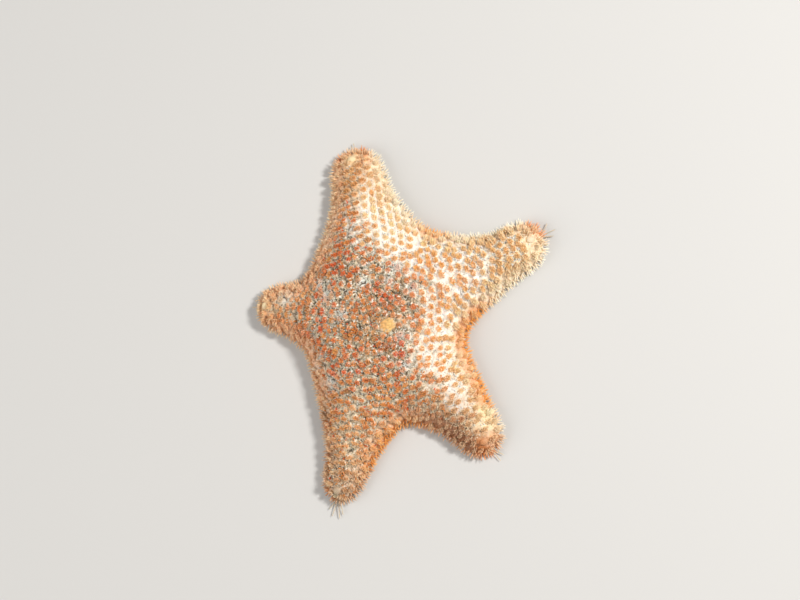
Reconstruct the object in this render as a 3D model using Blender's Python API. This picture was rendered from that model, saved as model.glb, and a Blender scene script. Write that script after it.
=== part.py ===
"""A cushion star at life size, lying flat on its underside.

Lengths are metres and +Z is up. The star is modelled round the middle of its disc, and the disc is
then set off the origin, so that the origin is the middle of the whole star's footprint on the floor.
"""

import math
import random

import bmesh
import bpy
import numpy as np
from mathutils import Matrix, Vector

MM = 0.001

# Each arm's direction in degrees, its length from the middle of the disc to the tip, and its half
# width near the tip and part way along. The left arm is drawn in. feelers are the tube feet that
# reach out past the tip: the angle of each one off the arm's line, and how far out it reaches.
ARMS = (
    dict(
        name="upper", direction=101.3, length=25.2 * MM, tip_half=3.15 * MM, mid_half=4.5 * MM,
        feelers=((-9, 1.5 * MM), (16, 1.2 * MM)),
    ),
    dict(
        name="right", direction=27.3, length=25.3 * MM, tip_half=2.8 * MM, mid_half=3.95 * MM,
        feelers=((-16, 1.7 * MM), (2, 2.2 * MM), (19, 1.9 * MM)),
    ),
    dict(
        name="lower_right", direction=-49.6, length=23.8 * MM, tip_half=2.55 * MM,
        mid_half=4.1 * MM, feelers=((-13, 1.9 * MM), (10, 1.6 * MM)),
    ),
    dict(
        name="lower_left", direction=-105.8, length=26.1 * MM, tip_half=2.2 * MM,
        mid_half=3.7 * MM,
        feelers=((-24, 2.0 * MM), (-8, 2.6 * MM), (9, 2.7 * MM), (25, 2.2 * MM)),
    ),
    dict(
        name="left", direction=171.3, length=19.1 * MM, tip_half=2.45 * MM, mid_half=4.05 * MM,
        feelers=((-12, 1.3 * MM), (12, 1.5 * MM)),
    ),
)
TIP_STATION = 0.93  # share of an arm's length where its tip_half is measured
MID_STATION = 0.70
# The innermost point of the margin between each arm and the next one in ARMS.
HOLLOWS = (
    dict(direction=65.0, radius=14.2 * MM),
    dict(direction=-9.0, radius=11.6 * MM),
    dict(direction=-80.0, radius=14.5 * MM),
    dict(direction=-156.0, radius=12.3 * MM),
    dict(direction=139.0, radius=13.8 * MM),
)
DISC_CENTRE = Vector((-1.98 * MM, 0.8 * MM, 0.0))

# The body's section: a low dome over a flat underside, widest just above the floor.
MARGIN_Z = 1.0 * MM
DOME_HEIGHT = 7.2 * MM
DOME_REACH = 8.3 * MM  # how far in from the margin the dome levels out
DOME_ROUND = 1.32
ARM_FALL = 0.24  # how much lower the dome is at an arm's length from the middle of the disc
UNDER_REACH = 1.1 * MM  # how far in from the margin the underside is flat
COLUMNS = 92
RINGS = 18

CUT = 0.3 * MM  # the gap between neighbouring pieces
CUT_OUTSIDE_HOLLOW = 1.7 * MM
CUT_PAST_MARGIN = 1.6 * MM

MOUTH_RADIUS = 2.3 * MM
MOUTH_DEPTH = 1.5 * MM
JAWS = 5
GROOVE_WIDE = 1.45 * MM  # half width of an arm's groove at the mouth, and its depth there
GROOVE_NARROW = 0.85 * MM
GROOVE_STOP = 1.6 * MM

MADREPORITE = dict(direction=-26.0, out=2.4 * MM, radius=1.05 * MM, half_height=0.55 * MM)
TIP_PLATE = dict(back=1.3 * MM, radius=0.75 * MM, half_height=0.55 * MM)


# One spine stands on each plate of the back. The plates lie in rows along each arm.
ROW_GAP = 1.35 * MM
PLATE_GAP = 1.5 * MM
PLATE_STRAY = 0.12 * MM
BACK_SPINE = dict(radius=0.44 * MM, root=0.38 * MM, reach=0.85 * MM, sides=4)
BACK_LOWEST = 2.25 * MM  # the plates of the back stop above the fringe

# The fringe is two tiers of spines round the margin: height of the root, rise in degrees, reach.
FRINGE_GAP = 1.12 * MM
FRINGE = (
    dict(z=0.72 * MM, rise=2, radius=0.4 * MM, root=0.6 * MM, reach=1.0 * MM, sides=4),
    dict(z=1.6 * MM, rise=24, radius=0.4 * MM, root=0.6 * MM, reach=0.9 * MM, sides=4),
)

# Tube feet hang in two rows from the roof of each groove, and stop just short of the floor.
FOOT_GAP = 2.0 * MM
FOOT_FIRST = 3.6 * MM
FOOT = dict(radius=0.36 * MM, top_radius=0.28 * MM, root=0.35 * MM, clear=0.06 * MM, sides=4)
FEELER = dict(z=0.62 * MM, fall=4, radius=0.36 * MM, root=1.3 * MM, sides=4)

CLEAR_OF_CUT = 0.62 * MM  # how far a spine's root keeps from the middle of a cut
CLEAR_OF_PLATE = 0.55 * MM


def polar(direction, radius):
    angle = math.radians(direction)
    return np.array((math.cos(angle), math.sin(angle))) * radius


def margin_marks():
    """The few points that fix the margin, anticlockwise."""
    marks = []
    for arm, hollow in zip(ARMS, HOLLOWS):
        along = polar(arm["direction"], 1.0)
        left = np.array((-along[1], along[0]))
        mid = along * arm["length"] * MID_STATION
        end = along * arm["length"] * TIP_STATION
        marks += [
            mid + left * arm["mid_half"],
            end + left * arm["tip_half"],
            along * arm["length"],
            end - left * arm["tip_half"],
            mid - left * arm["mid_half"],
            polar(hollow["direction"], hollow["radius"]),
        ]
    return marks[::-1]


def margin_loop(count):
    """count evenly spaced points of the smooth closed curve through the margin's marks."""
    marks = margin_marks()
    fine = []
    for k in range(len(marks)):
        a, b, c, d = (marks[(k + step) % len(marks)] for step in (-1, 0, 1, 2))
        for t in np.linspace(0, 1, 24, endpoint=False):
            bend = (2 * a - 5 * b + 4 * c - d) * t * t + (3 * b - a - 3 * c + d) * t**3
            fine.append((2 * b + (c - a) * t + bend) / 2)
    fine.append(fine[0])
    fine = np.array(fine)
    along = np.concatenate(([0.0], np.cumsum(np.linalg.norm(np.diff(fine, axis=0), axis=1))))
    wanted = np.arange(count) * along[-1] / count
    return np.stack([np.interp(wanted, along, fine[:, axis]) for axis in (0, 1)], axis=1)


FINE_MARGIN = margin_loop(1600)
FINE_STEP = np.linalg.norm(FINE_MARGIN[1] - FINE_MARGIN[0])


def margin_distance(points):
    """A smooth measure of how far each point lies inside the margin, by a mean over its length."""
    points = np.atleast_2d(points)
    gaps = np.linalg.norm(points[:, None, :] - FINE_MARGIN[None, :, :], axis=2)
    gaps = np.maximum(gaps, FINE_STEP / 4)
    return (np.sum(gaps**-4.0, axis=1) * FINE_STEP / (math.pi / 2)) ** (-1 / 3)


def inside(place):
    """Whether a place lies within the margin."""
    ahead = np.roll(FINE_MARGIN, -1, axis=0) - FINE_MARGIN
    gap = place - FINE_MARGIN
    nearest = int(np.argmin(np.linalg.norm(gap, axis=1)))
    return ahead[nearest, 0] * gap[nearest, 1] - ahead[nearest, 1] * gap[nearest, 0] > 0


def dome(points):
    """Height of the upper surface over each point."""
    reach = np.clip(margin_distance(points) / DOME_REACH, 0.0, 1.0)
    fall = 1 - ARM_FALL * np.sum(np.square(points), axis=-1) / (25 * MM) ** 2
    return MARGIN_Z + DOME_HEIGHT * fall * (1 - (1 - reach) ** DOME_ROUND) ** (1 / DOME_ROUND)


def underside(points):
    """Height of the lower surface: rounded up to the margin, and flat further in."""
    return MARGIN_Z * (1 - np.clip(margin_distance(points) / UNDER_REACH, 0.0, 1.0)) ** 2


def surface(point):
    """The point of the upper surface over a place on the plan, and its outward direction there."""
    step = 0.15 * MM
    places = [point, point + (step, 0), point - (step, 0), point + (0, step), point - (0, step)]
    z, east, west, north, south = dome(np.array(places))
    normal = Vector((float(west - east), float(south - north), float(2 * step))).normalized()
    return Vector((float(point[0]), float(point[1]), float(z))), normal


def add_object(name, shape, matrix=None):
    """A mesh object from a bmesh."""
    mesh = bpy.data.meshes.new(name)
    if matrix is not None:
        shape.transform(matrix)
    shape.to_mesh(mesh)
    shape.free()
    made = bpy.data.objects.new(name, mesh)
    bpy.context.scene.collection.objects.link(made)
    return made


def aimed(point, direction):
    """A matrix that stands a shape's own Z along a direction at a point."""
    return Matrix.Translation(point) @ direction.to_track_quat("Z", "Y").to_matrix().to_4x4()


def boolean(target, others, operation):
    """Joins the other objects to the target, or cuts them from it, and removes them."""
    group = bpy.data.collections.new("others")
    bpy.context.scene.collection.children.link(group)
    for other in others:
        bpy.context.scene.collection.objects.unlink(other)
        group.objects.link(other)
    modifier = target.modifiers.new("boolean", "BOOLEAN")
    modifier.operation = operation
    modifier.operand_type = "COLLECTION"
    modifier.collection = group
    modifier.solver = "MANIFOLD"
    with bpy.context.temp_override(object=target, active_object=target):
        bpy.ops.object.modifier_apply(modifier=modifier.name)
    for other in list(group.objects):
        bpy.data.objects.remove(other)
    bpy.data.collections.remove(group)


def star_body():
    """A sphere drawn out to the margin, with its upper half on the dome and its lower half flattened."""
    shape = bmesh.new()
    bmesh.ops.create_uvsphere(shape, u_segments=COLUMNS, v_segments=RINGS, radius=1.0)
    margin = margin_loop(COLUMNS)
    places = []
    for vert in shape.verts:
        column = round(math.atan2(vert.co.y, vert.co.x) / (2 * math.pi) * COLUMNS) % COLUMNS
        places.append(margin[column] * math.hypot(vert.co.x, vert.co.y))
    places = np.array(places)
    for vert, place, top, bottom in zip(shape.verts, places, dome(places), underside(places)):
        level = MARGIN_Z if abs(vert.co.z) < 1e-4 else top if vert.co.z > 0 else bottom
        vert.co = Vector((place[0], place[1], level))
    verts = [vert for vert in shape.verts if vert.co.z < 1e-7]
    flat = [edge for edge in shape.edges if all(vert.co.z < 1e-7 for vert in edge.verts)]
    bmesh.ops.dissolve_limit(shape, angle_limit=math.radians(0.5), verts=verts, edges=flat)
    return add_object("body", shape)


def groove(arm):
    """The tapered groove along the underside of an arm, as a cutter."""
    run = arm["length"] - GROOVE_STOP
    shape = bmesh.new()
    bmesh.ops.create_cone(
        shape, cap_ends=True, segments=8, radius1=GROOVE_WIDE, radius2=GROOVE_NARROW, depth=run
    )
    along = Vector((*polar(arm["direction"], 1.0), 0.0))
    turn = Matrix.Rotation(math.radians(22.5), 4, "Z")
    return add_object("groove", shape, aimed(along * run / 2, along) @ turn)


def mouth_recess():
    shape = bmesh.new()
    bmesh.ops.create_cone(
        shape, cap_ends=True, segments=30, radius1=MOUTH_RADIUS, radius2=MOUTH_RADIUS,
        depth=2 * MOUTH_DEPTH,
    )
    return add_object("mouth_recess", shape)


def lens(name, point, normal, radius, half_height):
    """A small cushion-shaped plate, half sunk in the surface."""
    shape = bmesh.new()
    bmesh.ops.create_uvsphere(shape, u_segments=12, v_segments=6, radius=1.0)
    flatten = Matrix.Diagonal((radius, radius, half_height, 1.0))
    return add_object(name, shape, aimed(point, normal) @ flatten)


def madreporite_seat():
    return surface(polar(MADREPORITE["direction"], MADREPORITE["out"]))


def tip_plate_seat(arm):
    return surface(polar(arm["direction"], arm["length"] - TIP_PLATE["back"]))


def plate_with_recess(name, seat, sizes):
    """A plate and the cutter that leaves the gap round it."""
    plate = lens(name, *seat, sizes["radius"], sizes["half_height"])
    recess = lens(name + "_recess", *seat, sizes["radius"] + CUT, sizes["half_height"] + CUT)
    return plate, recess


def mouth_frame():
    """The ring of five jaws that closes the mouth, pointing inwards between the arms."""
    curve = bpy.data.curves.new("mouth_frame", "CURVE")
    curve.dimensions = "2D"
    curve.fill_mode = "BOTH"
    depth = MOUTH_DEPTH - 2 * CUT
    curve.extrude = depth / 2
    outer = MOUTH_RADIUS - CUT
    for count, reach in ((24, lambda turn: outer), (30, lambda turn: mouth_opening(turn, outer))):
        spline = curve.splines.new("POLY")
        spline.points.add(count - 1)
        spline.use_cyclic_u = True
        for k, point in enumerate(spline.points):
            turn = 360 * k / count
            point.co = (*polar(turn, reach(turn)), 0.0, 1.0)
    drawn = bpy.data.objects.new("mouth_outline", curve)
    bpy.context.scene.collection.objects.link(drawn)
    bpy.context.view_layer.update()
    graph = bpy.context.evaluated_depsgraph_get()
    shape = bmesh.new()
    shape.from_mesh(bpy.data.meshes.new_from_object(drawn.evaluated_get(graph)))
    bmesh.ops.remove_doubles(shape, verts=shape.verts, dist=1e-6)
    bpy.data.objects.remove(drawn)
    return add_object("mouth_frame", shape, Matrix.Translation((0, 0, CUT + depth / 2)))


def mouth_opening(turn, outer):
    """Radius of the hole between the jaws: wide under each arm, narrow at each jaw."""
    nearest = min(abs((turn - hollow["direction"] + 180) % 360 - 180) for hollow in HOLLOWS)
    return outer * (0.22 + 0.5 * min(1.0, nearest / (180 / JAWS)) ** 0.8)


def cut_line(index):
    """The two ends of the cut that parts an arm from the disc, just outside the hollows beside it."""
    offset = round(CUT_OUTSIDE_HOLLOW / FINE_STEP)
    ends = []
    for hollow, way in ((HOLLOWS[index - 1], -1), (HOLLOWS[index], 1)):
        mark = polar(hollow["direction"], hollow["radius"])
        nearest = int(np.argmin(np.linalg.norm(FINE_MARGIN - mark, axis=1)))
        ends.append(FINE_MARGIN[(nearest + way * offset) % len(FINE_MARGIN)])
    return ends


def arm_cutter(index):
    """The thin upright slab along an arm's cut."""
    start, end = (Vector((*place, 0.0)) for place in cut_line(index))
    across = end - start
    turn = Matrix.Rotation(math.atan2(across.y, across.x), 4, "Z")
    size = (across.length + 2 * CUT_PAST_MARGIN, CUT, 2.5 * (MARGIN_Z + DOME_HEIGHT), 1.0)
    shape = bmesh.new()
    bmesh.ops.create_cube(shape, size=1.0)
    return add_object(
        "cut", shape, Matrix.Translation((start + end) / 2) @ turn @ Matrix.Diagonal(size)
    )


def clear_of_cuts(place):
    """The place, moved straight away from any cut that it lies too near."""
    for index in range(len(ARMS)):
        start, end = cut_line(index)
        across = (end - start) / np.linalg.norm(end - start)
        run = float(np.dot(place - start, across))
        off = np.array((-across[1], across[0]))
        gap = float(np.dot(place - start, off))
        beside = -CUT_PAST_MARGIN < run < np.linalg.norm(end - start) + CUT_PAST_MARGIN
        if beside and abs(gap) < CLEAR_OF_CUT:
            place = place + off * (math.copysign(CLEAR_OF_CUT, gap) - gap)
    return place


def spine(point, direction, sizes, turn):
    """A pointed spine of few sides, with its root sunk behind the point."""
    depth = sizes["root"] + sizes["reach"]
    shape = bmesh.new()
    bmesh.ops.create_cone(
        shape, cap_ends=True, segments=sizes["sides"], radius1=sizes["radius"], radius2=0.0,
        depth=depth,
    )
    middle = point + direction * (sizes["reach"] - depth / 2)
    return add_object("spine", shape, aimed(middle, direction) @ Matrix.Rotation(turn, 4, "Z"))


def plate_places():
    """Where the plates of the back lie: in rows beside each arm's line, evenly over the surface."""
    places = [np.zeros(2)]
    half = math.radians(180 / len(ARMS))
    for index, arm in enumerate(ARMS):
        along = polar(arm["direction"], 1.0)
        for side, hollow in ((-1, HOLLOWS[index - 1]), (1, HOLLOWS[index])):
            between = polar(hollow["direction"], 1.0)
            for station in range(1, int(2 * arm["length"] / PLATE_GAP)):
                out = station * PLATE_GAP / 2
                aside = np.linspace(0, out * math.tan(half), 80)[:, None]
                path = along * (out - aside / math.tan(half)) + between * aside / math.sin(half)
                steps = np.diff(np.column_stack((path, dome(path))), axis=0)
                run = np.concatenate(([0.0], np.cumsum(np.linalg.norm(steps, axis=1))))
                first = station % 2 if station % 2 or side > 0 else 2
                for row in range(first, int(run[-1] / ROW_GAP) + 1, 2):
                    spot = np.interp(row * ROW_GAP, run, np.arange(len(run)))
                    places.append([np.interp(spot, np.arange(len(run)), path[:, k]) for k in (0, 1)])
    return np.array(places)


def back_spines(spread):
    """A spine on every plate of the back that has room for one."""
    made = []
    seats = [(madreporite_seat(), MADREPORITE)] + [(tip_plate_seat(arm), TIP_PLATE) for arm in ARMS]
    kept = []
    for place in plate_places():
        stray = (spread.uniform(-1, 1) * PLATE_STRAY, spread.uniform(-1, 1) * PLATE_STRAY)
        place = clear_of_cuts(place + stray)
        point, normal = surface(place)
        if point.z < BACK_LOWEST or not inside(place):
            continue
        if any((point - other).length < 0.65 * PLATE_GAP for other in kept):
            continue
        if all(
            (point - seat[0]).length > sizes["radius"] + CLEAR_OF_PLATE for seat, sizes in seats
        ):
            kept.append(point)
            made.append(spine(point, normal, BACK_SPINE, spread.uniform(0, math.pi / 2)))
    return made


def fringe_spines(spread):
    """Tiers of spines that point out from the margin."""
    made = []
    length = FINE_STEP * len(FINE_MARGIN)
    count = round(length / FRINGE_GAP)
    for number in range(count):
        sizes = FRINGE[number % len(FRINGE)]
        index = round(number * len(FINE_MARGIN) / count) % len(FINE_MARGIN)
        ahead = FINE_MARGIN[(index + 6) % len(FINE_MARGIN)] - FINE_MARGIN[index - 6]
        ahead /= np.linalg.norm(ahead)
        place = clear_of_cuts(FINE_MARGIN[index])
        rise = math.radians(sizes["rise"])
        direction = Vector((ahead[1] * math.cos(rise), -ahead[0] * math.cos(rise), math.sin(rise)))
        point = Vector((*place, sizes["z"]))
        made.append(spine(point, direction, sizes, spread.uniform(-0.2, 0.2) + math.pi / 4))
    return made


def tube_feet():
    """Two rows of feet along each groove, each a short column from the groove's roof."""
    made = []
    for arm in ARMS:
        along = polar(arm["direction"], 1.0)
        left = np.array((-along[1], along[0]))
        run = arm["length"] - GROOVE_STOP
        for step in range(int((run - FOOT_FIRST - 0.4 * MM) / FOOT_GAP) + 1):
            out = FOOT_FIRST + step * FOOT_GAP
            wide = GROOVE_WIDE + (GROOVE_NARROW - GROOVE_WIDE) * out / run
            for side in (-1, 1):
                aside = 0.5 * wide
                top = math.sqrt(wide**2 - aside**2) + FOOT["root"]
                depth = top - FOOT["clear"]
                shape = bmesh.new()
                bmesh.ops.create_cone(
                    shape, cap_ends=True, segments=FOOT["sides"], radius1=FOOT["radius"],
                    radius2=FOOT["top_radius"], depth=depth,
                )
                place = clear_of_cuts(along * (out + side * FOOT_GAP / 4) + left * side * aside)
                middle = Vector((*place, FOOT["clear"] + depth / 2))
                turn = Matrix.Rotation(math.radians(arm["direction"] + 45), 4, "Z")
                made.append(add_object("foot", shape, Matrix.Translation(middle) @ turn))
    return made


def feelers():
    """The thin tube feet that reach out past each arm's tip, low over the floor."""
    made = []
    for arm in ARMS:
        for angle, reach in arm["feelers"]:
            tip = polar(arm["direction"], arm["length"] - FEELER["root"])
            ahead = polar(arm["direction"] + angle, 1.0)
            fall = math.radians(FEELER["fall"])
            direction = Vector((*(ahead * math.cos(fall)), -math.sin(fall)))
            sizes = dict(FEELER, reach=reach + FEELER["root"], root=0.4 * MM)
            made.append(spine(Vector((*tip, FEELER["z"])), direction, sizes, math.pi / 4))
    return made


def split_nodes(body):
    """Separates the parted body and names each piece. Scraps are dropped."""
    bpy.context.view_layer.objects.active = body
    body.select_set(True)
    bpy.ops.object.mode_set(mode="EDIT")
    bpy.ops.mesh.select_all(action="SELECT")
    bpy.ops.mesh.separate(type="LOOSE")
    bpy.ops.object.mode_set(mode="OBJECT")
    pieces = [obj for obj in bpy.data.objects if obj.type == "MESH" and obj.name.startswith("body")]
    pieces.sort(key=lambda obj: len(obj.data.vertices), reverse=True)
    named = []
    for piece in pieces[: len(ARMS) + 1]:
        points = np.array([vert.co[:2] for vert in piece.data.vertices])
        middle = (points.min(0) + points.max(0)) / 2
        if np.linalg.norm(middle) < 4 * MM:
            piece.name = "disc"
        else:
            toward = math.degrees(math.atan2(middle[1], middle[0]))
            arm = min(ARMS, key=lambda arm: abs((toward - arm["direction"] + 180) % 360 - 180))
            piece.name = "arm_" + arm["name"]
        named.append(piece)
    for scrap in pieces[len(ARMS) + 1 :]:
        bpy.data.objects.remove(scrap)
    return named


def material(name, colour, roughness):
    made = bpy.data.materials.new(name)
    made.use_nodes = True
    shader = made.node_tree.nodes["Principled BSDF"]
    shader.inputs["Base Color"].default_value = (*colour, 1.0)
    shader.inputs["Roughness"].default_value = roughness
    shader.inputs["Metallic"].default_value = 0.0
    return made


def main():
    for old in list(bpy.data.objects):
        bpy.data.objects.remove(old)
    flesh = material("star_skin", (0.72, 0.45, 0.28), 0.6)
    sieve = material("madreporite_plate", (0.85, 0.66, 0.33), 0.55)
    orange = material("tip_plate", (0.85, 0.33, 0.09), 0.5)
    pale = material("jaw_plate", (0.82, 0.68, 0.5), 0.6)

    body = star_body()
    cutters = [mouth_recess()] + [groove(arm) for arm in ARMS]
    plates = []
    sieve_plate, recess = plate_with_recess("madreporite", madreporite_seat(), MADREPORITE)
    plates.append((sieve_plate, sieve))
    cutters.append(recess)
    for arm in ARMS:
        plate, recess = plate_with_recess("tip_plate_" + arm["name"], tip_plate_seat(arm), TIP_PLATE)
        plates.append((plate, orange))
        cutters.append(recess)
    boolean(body, cutters, "DIFFERENCE")
    spread = random.Random(5)
    forms = back_spines(spread) + fringe_spines(spread) + tube_feet() + feelers()
    boolean(body, forms, "UNION")
    boolean(body, [arm_cutter(index) for index in range(len(ARMS))], "DIFFERENCE")

    finished = [(node, flesh) for node in split_nodes(body)]
    finished += plates + [(mouth_frame(), pale)]
    star = bpy.data.collections.new("cushion_star")
    bpy.context.scene.collection.children.link(star)
    for node, finish in finished:
        node.location = DISC_CENTRE
        node.data.materials.clear()
        node.data.materials.append(finish)
        node.data.shade_smooth()
        node.data.set_sharp_from_angle(angle=math.radians(40))
        for group in list(node.users_collection):
            group.objects.unlink(node)
        star.objects.link(node)


main()
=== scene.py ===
import math
import random
from types import SimpleNamespace

import bpy
import numpy as np
from mathutils import Matrix, Vector, kdtree


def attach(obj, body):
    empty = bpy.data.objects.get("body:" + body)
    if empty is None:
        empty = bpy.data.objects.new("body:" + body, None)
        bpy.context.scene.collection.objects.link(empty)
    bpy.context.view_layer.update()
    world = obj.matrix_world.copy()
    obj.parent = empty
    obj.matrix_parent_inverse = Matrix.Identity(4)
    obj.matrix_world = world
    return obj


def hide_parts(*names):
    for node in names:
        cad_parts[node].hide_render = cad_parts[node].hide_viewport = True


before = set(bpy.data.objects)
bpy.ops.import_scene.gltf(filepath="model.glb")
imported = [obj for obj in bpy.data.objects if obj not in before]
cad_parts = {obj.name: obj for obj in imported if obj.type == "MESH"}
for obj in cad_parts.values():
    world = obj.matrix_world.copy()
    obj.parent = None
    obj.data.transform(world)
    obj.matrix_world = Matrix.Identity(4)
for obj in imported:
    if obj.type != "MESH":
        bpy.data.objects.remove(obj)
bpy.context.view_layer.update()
mm = 0.001

# The star's plan and section, the same as the solids have. Feelers are [angle off the arm, reach].
star = dict(
    centre=(-1.98 * mm, 0.8 * mm),  # the middle of the disc
    arms=[
        dict(name="upper", direction=101.3, length=25.2 * mm, tipHalf=3.15 * mm,
             midHalf=4.5 * mm, feelers=[(-9, 1.5 * mm), (16, 1.2 * mm)]),
        dict(name="right", direction=27.3, length=25.3 * mm, tipHalf=2.8 * mm,
             midHalf=3.95 * mm, feelers=[(-16, 1.7 * mm), (2, 2.2 * mm), (19, 1.9 * mm)]),
        dict(name="lower_right", direction=-49.6, length=23.8 * mm, tipHalf=2.55 * mm,
             midHalf=4.1 * mm, feelers=[(-13, 1.9 * mm), (10, 1.6 * mm)]),
        dict(name="lower_left", direction=-105.8, length=26.1 * mm, tipHalf=2.2 * mm,
             midHalf=3.7 * mm,
             feelers=[(-24, 2.0 * mm), (-8, 2.6 * mm), (9, 2.7 * mm), (25, 2.2 * mm)]),
        dict(name="left", direction=171.3, length=19.1 * mm, tipHalf=2.45 * mm,
             midHalf=4.05 * mm, feelers=[(-12, 1.3 * mm), (12, 1.5 * mm)]),
    ],
    tipStation=0.93,
    midStation=0.70,
    hollows=[  # the innermost place of the margin between each arm and the next
        dict(direction=65.0, radius=14.2 * mm),
        dict(direction=-9.0, radius=11.6 * mm),
        dict(direction=-80.0, radius=14.5 * mm),
        dict(direction=-156.0, radius=12.3 * mm),
        dict(direction=139.0, radius=13.8 * mm),
    ],
    marginZ=1.0 * mm,
    domeHeight=7.2 * mm,
    domeReach=8.3 * mm,
    domeRound=1.32,
    armFall=0.24,
    underZ=0.42 * mm,  # the skin's underside, with the oral spines reaching down from it
    underReach=1.1 * mm,
    grooveWide=1.45 * mm,
    grooveNarrow=0.85 * mm,
    grooveStop=1.6 * mm,
    mouthRadius=2.3 * mm,
    mouthDepth=1.5 * mm,
)


def polar(direction, radius=1.0):
    angle = math.radians(direction)
    return np.array((math.cos(angle), math.sin(angle))) * radius


def leftOf(way):  # the way a quarter turn to the left in plan
    return np.array((-way[1], way[0]))


def roundWays(turns):  # ways in plan, one to each turn
    return np.stack((np.cos(turns), np.sin(turns)), axis=1)


def smoothStep(low, high, value):
    share = np.clip((np.asarray(value) - low) / (high - low), 0, 1)
    return share * share * (3 - 2 * share)


def mixed(first, second, share):
    share = np.asarray(share)[..., None]
    return np.asarray(first) * (1 - share) + np.asarray(second) * share


def unitLength(vectors):
    return vectors / np.maximum(np.linalg.norm(vectors, axis=-1, keepdims=True), 1e-12)


def marginLoop(count):
    marks = []
    for arm, hollow in zip(star["arms"], star["hollows"]):
        along = polar(arm["direction"])
        left = leftOf(along)
        mid = along * arm["length"] * star["midStation"]
        end = along * arm["length"] * star["tipStation"]
        marks += [mid + left * arm["midHalf"], end + left * arm["tipHalf"], along * arm["length"],
                  end - left * arm["tipHalf"], mid - left * arm["midHalf"],
                  polar(hollow["direction"], hollow["radius"])]
    marks = marks[::-1]
    fine = []
    for k in range(len(marks)):
        a, b, c, d = (marks[(k + step) % len(marks)] for step in (-1, 0, 1, 2))
        for t in np.linspace(0, 1, 24, endpoint=False):
            bend = (2 * a - 5 * b + 4 * c - d) * t * t + (3 * b - a - 3 * c + d) * t**3
            fine.append((2 * b + (c - a) * t + bend) / 2)
    fine = np.array(fine + fine[:1])
    run = np.concatenate(([0], np.cumsum(np.linalg.norm(np.diff(fine, axis=0), axis=1))))
    wanted = np.arange(count) * run[-1] / count
    return np.stack([np.interp(wanted, run, fine[:, axis]) for axis in (0, 1)], axis=1)


margin = marginLoop(1600)
marginStep = np.linalg.norm(margin[1] - margin[0])


def exactDistance(places):  # a smooth measure of how far inside the margin each place lies
    found = np.empty(len(places))
    rim = (margin / mm).astype(np.float32)
    least = np.float32((marginStep / mm / 4) ** 2)
    for start in range(0, len(places), 2000):
        part = (places[start:start + 2000] / mm).astype(np.float32)
        near = np.subtract.outer(part[:, 0], rim[:, 0]) ** 2
        near += np.subtract.outer(part[:, 1], rim[:, 1]) ** 2
        np.maximum(near, least, out=near)
        np.divide(1, near, out=near)
        near *= near
        found[start:start + 2000] = near.sum(1)
    return (found * marginStep / mm / (math.pi / 2)) ** (-1 / 3) * mm


chart = dict(low=np.array((-25.0, -29.0)) * mm, step=0.25 * mm, size=(208, 232))
chartPlaces = np.stack(np.meshgrid(*(np.arange(count) for count in chart["size"]), indexing="ij"), axis=-1)
chartGaps = exactDistance((chartPlaces * chart["step"] + chart["low"]).reshape(-1, 2)).reshape(chart["size"])


def marginDistance(places):  # the same, read between the marks of a chart made once
    at = (np.atleast_2d(places) - chart["low"]) / chart["step"]
    at = np.clip(at, 0, np.array(chart["size"]) - 1.001)
    low = at.astype(int)
    (i, j), (a, b) = low.T, (at - low).T
    return ((chartGaps[i, j] * (1 - a) + chartGaps[i + 1, j] * a) * (1 - b)
            + (chartGaps[i, j + 1] * (1 - a) + chartGaps[i + 1, j + 1] * a) * b)


def insideMargin(places):
    ahead = np.roll(margin, -1, axis=0) - margin
    found = []
    for place in np.atleast_2d(places):
        gap = place - margin
        k = int(np.argmin((gap**2).sum(1)))
        found.append(ahead[k, 0] * gap[k, 1] - ahead[k, 1] * gap[k, 0] > 0)
    return np.array(found)


def domeAt(places, distance=None):
    places = np.atleast_2d(places)
    distance = marginDistance(places) if distance is None else distance
    reach = np.clip(distance / star["domeReach"], 0, 1)
    fall = 1 - star["armFall"] * np.square(places).sum(-1) / (25 * mm) ** 2
    swell = (1 - (1 - reach) ** star["domeRound"]) ** (1 / star["domeRound"])
    return star["marginZ"] + star["domeHeight"] * fall * swell


def grooveHalf(arm, out):  # half width of an arm's groove, and its depth
    run = arm["length"] - star["grooveStop"]
    return star["grooveWide"] + (star["grooveNarrow"] - star["grooveWide"]) * np.clip(out / run, 0, 1)


def underAt(places, distance=None):
    places = np.atleast_2d(places)
    distance = marginDistance(places) if distance is None else distance
    rim = 1 - np.clip(distance / star["underReach"], 0, 1)
    height = star["underZ"] + (star["marginZ"] - star["underZ"]) * rim**2
    for arm in star["arms"]:
        along = polar(arm["direction"])
        out = places @ along
        aside = places @ leftOf(along)
        run = arm["length"] - star["grooveStop"]
        arch = np.sqrt(np.clip(grooveHalf(arm, out) ** 2 - aside**2, 0, None))
        ends = smoothStep(-0.2 * mm, 0.6 * mm, out) * smoothStep(run + 0.5 * mm, run - 0.5 * mm, out)
        height = np.maximum(height, arch * ends)
    far = np.linalg.norm(places, axis=1)
    mouth = star["mouthDepth"] * smoothStep(star["mouthRadius"] + 0.1 * mm,
                                            star["mouthRadius"] - 0.3 * mm, far)
    return np.maximum(height, mouth)


def surfaceAt(places, up=True):  # points of the back or the underside, and the ways out of it
    places = np.atleast_2d(places)
    step = 0.12 * mm
    height = domeAt if up else underAt
    shifts = ((0, 0), (1, 0), (-1, 0), (0, 1), (0, -1))
    z, east, west, north, south = (height(places + np.array(shift) * step) for shift in shifts)
    ways = np.column_stack((west - east, south - north, np.full(len(z), 2 * step)))
    return np.column_stack((places, z)), unitLength(ways) * (1 if up else -1)


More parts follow.
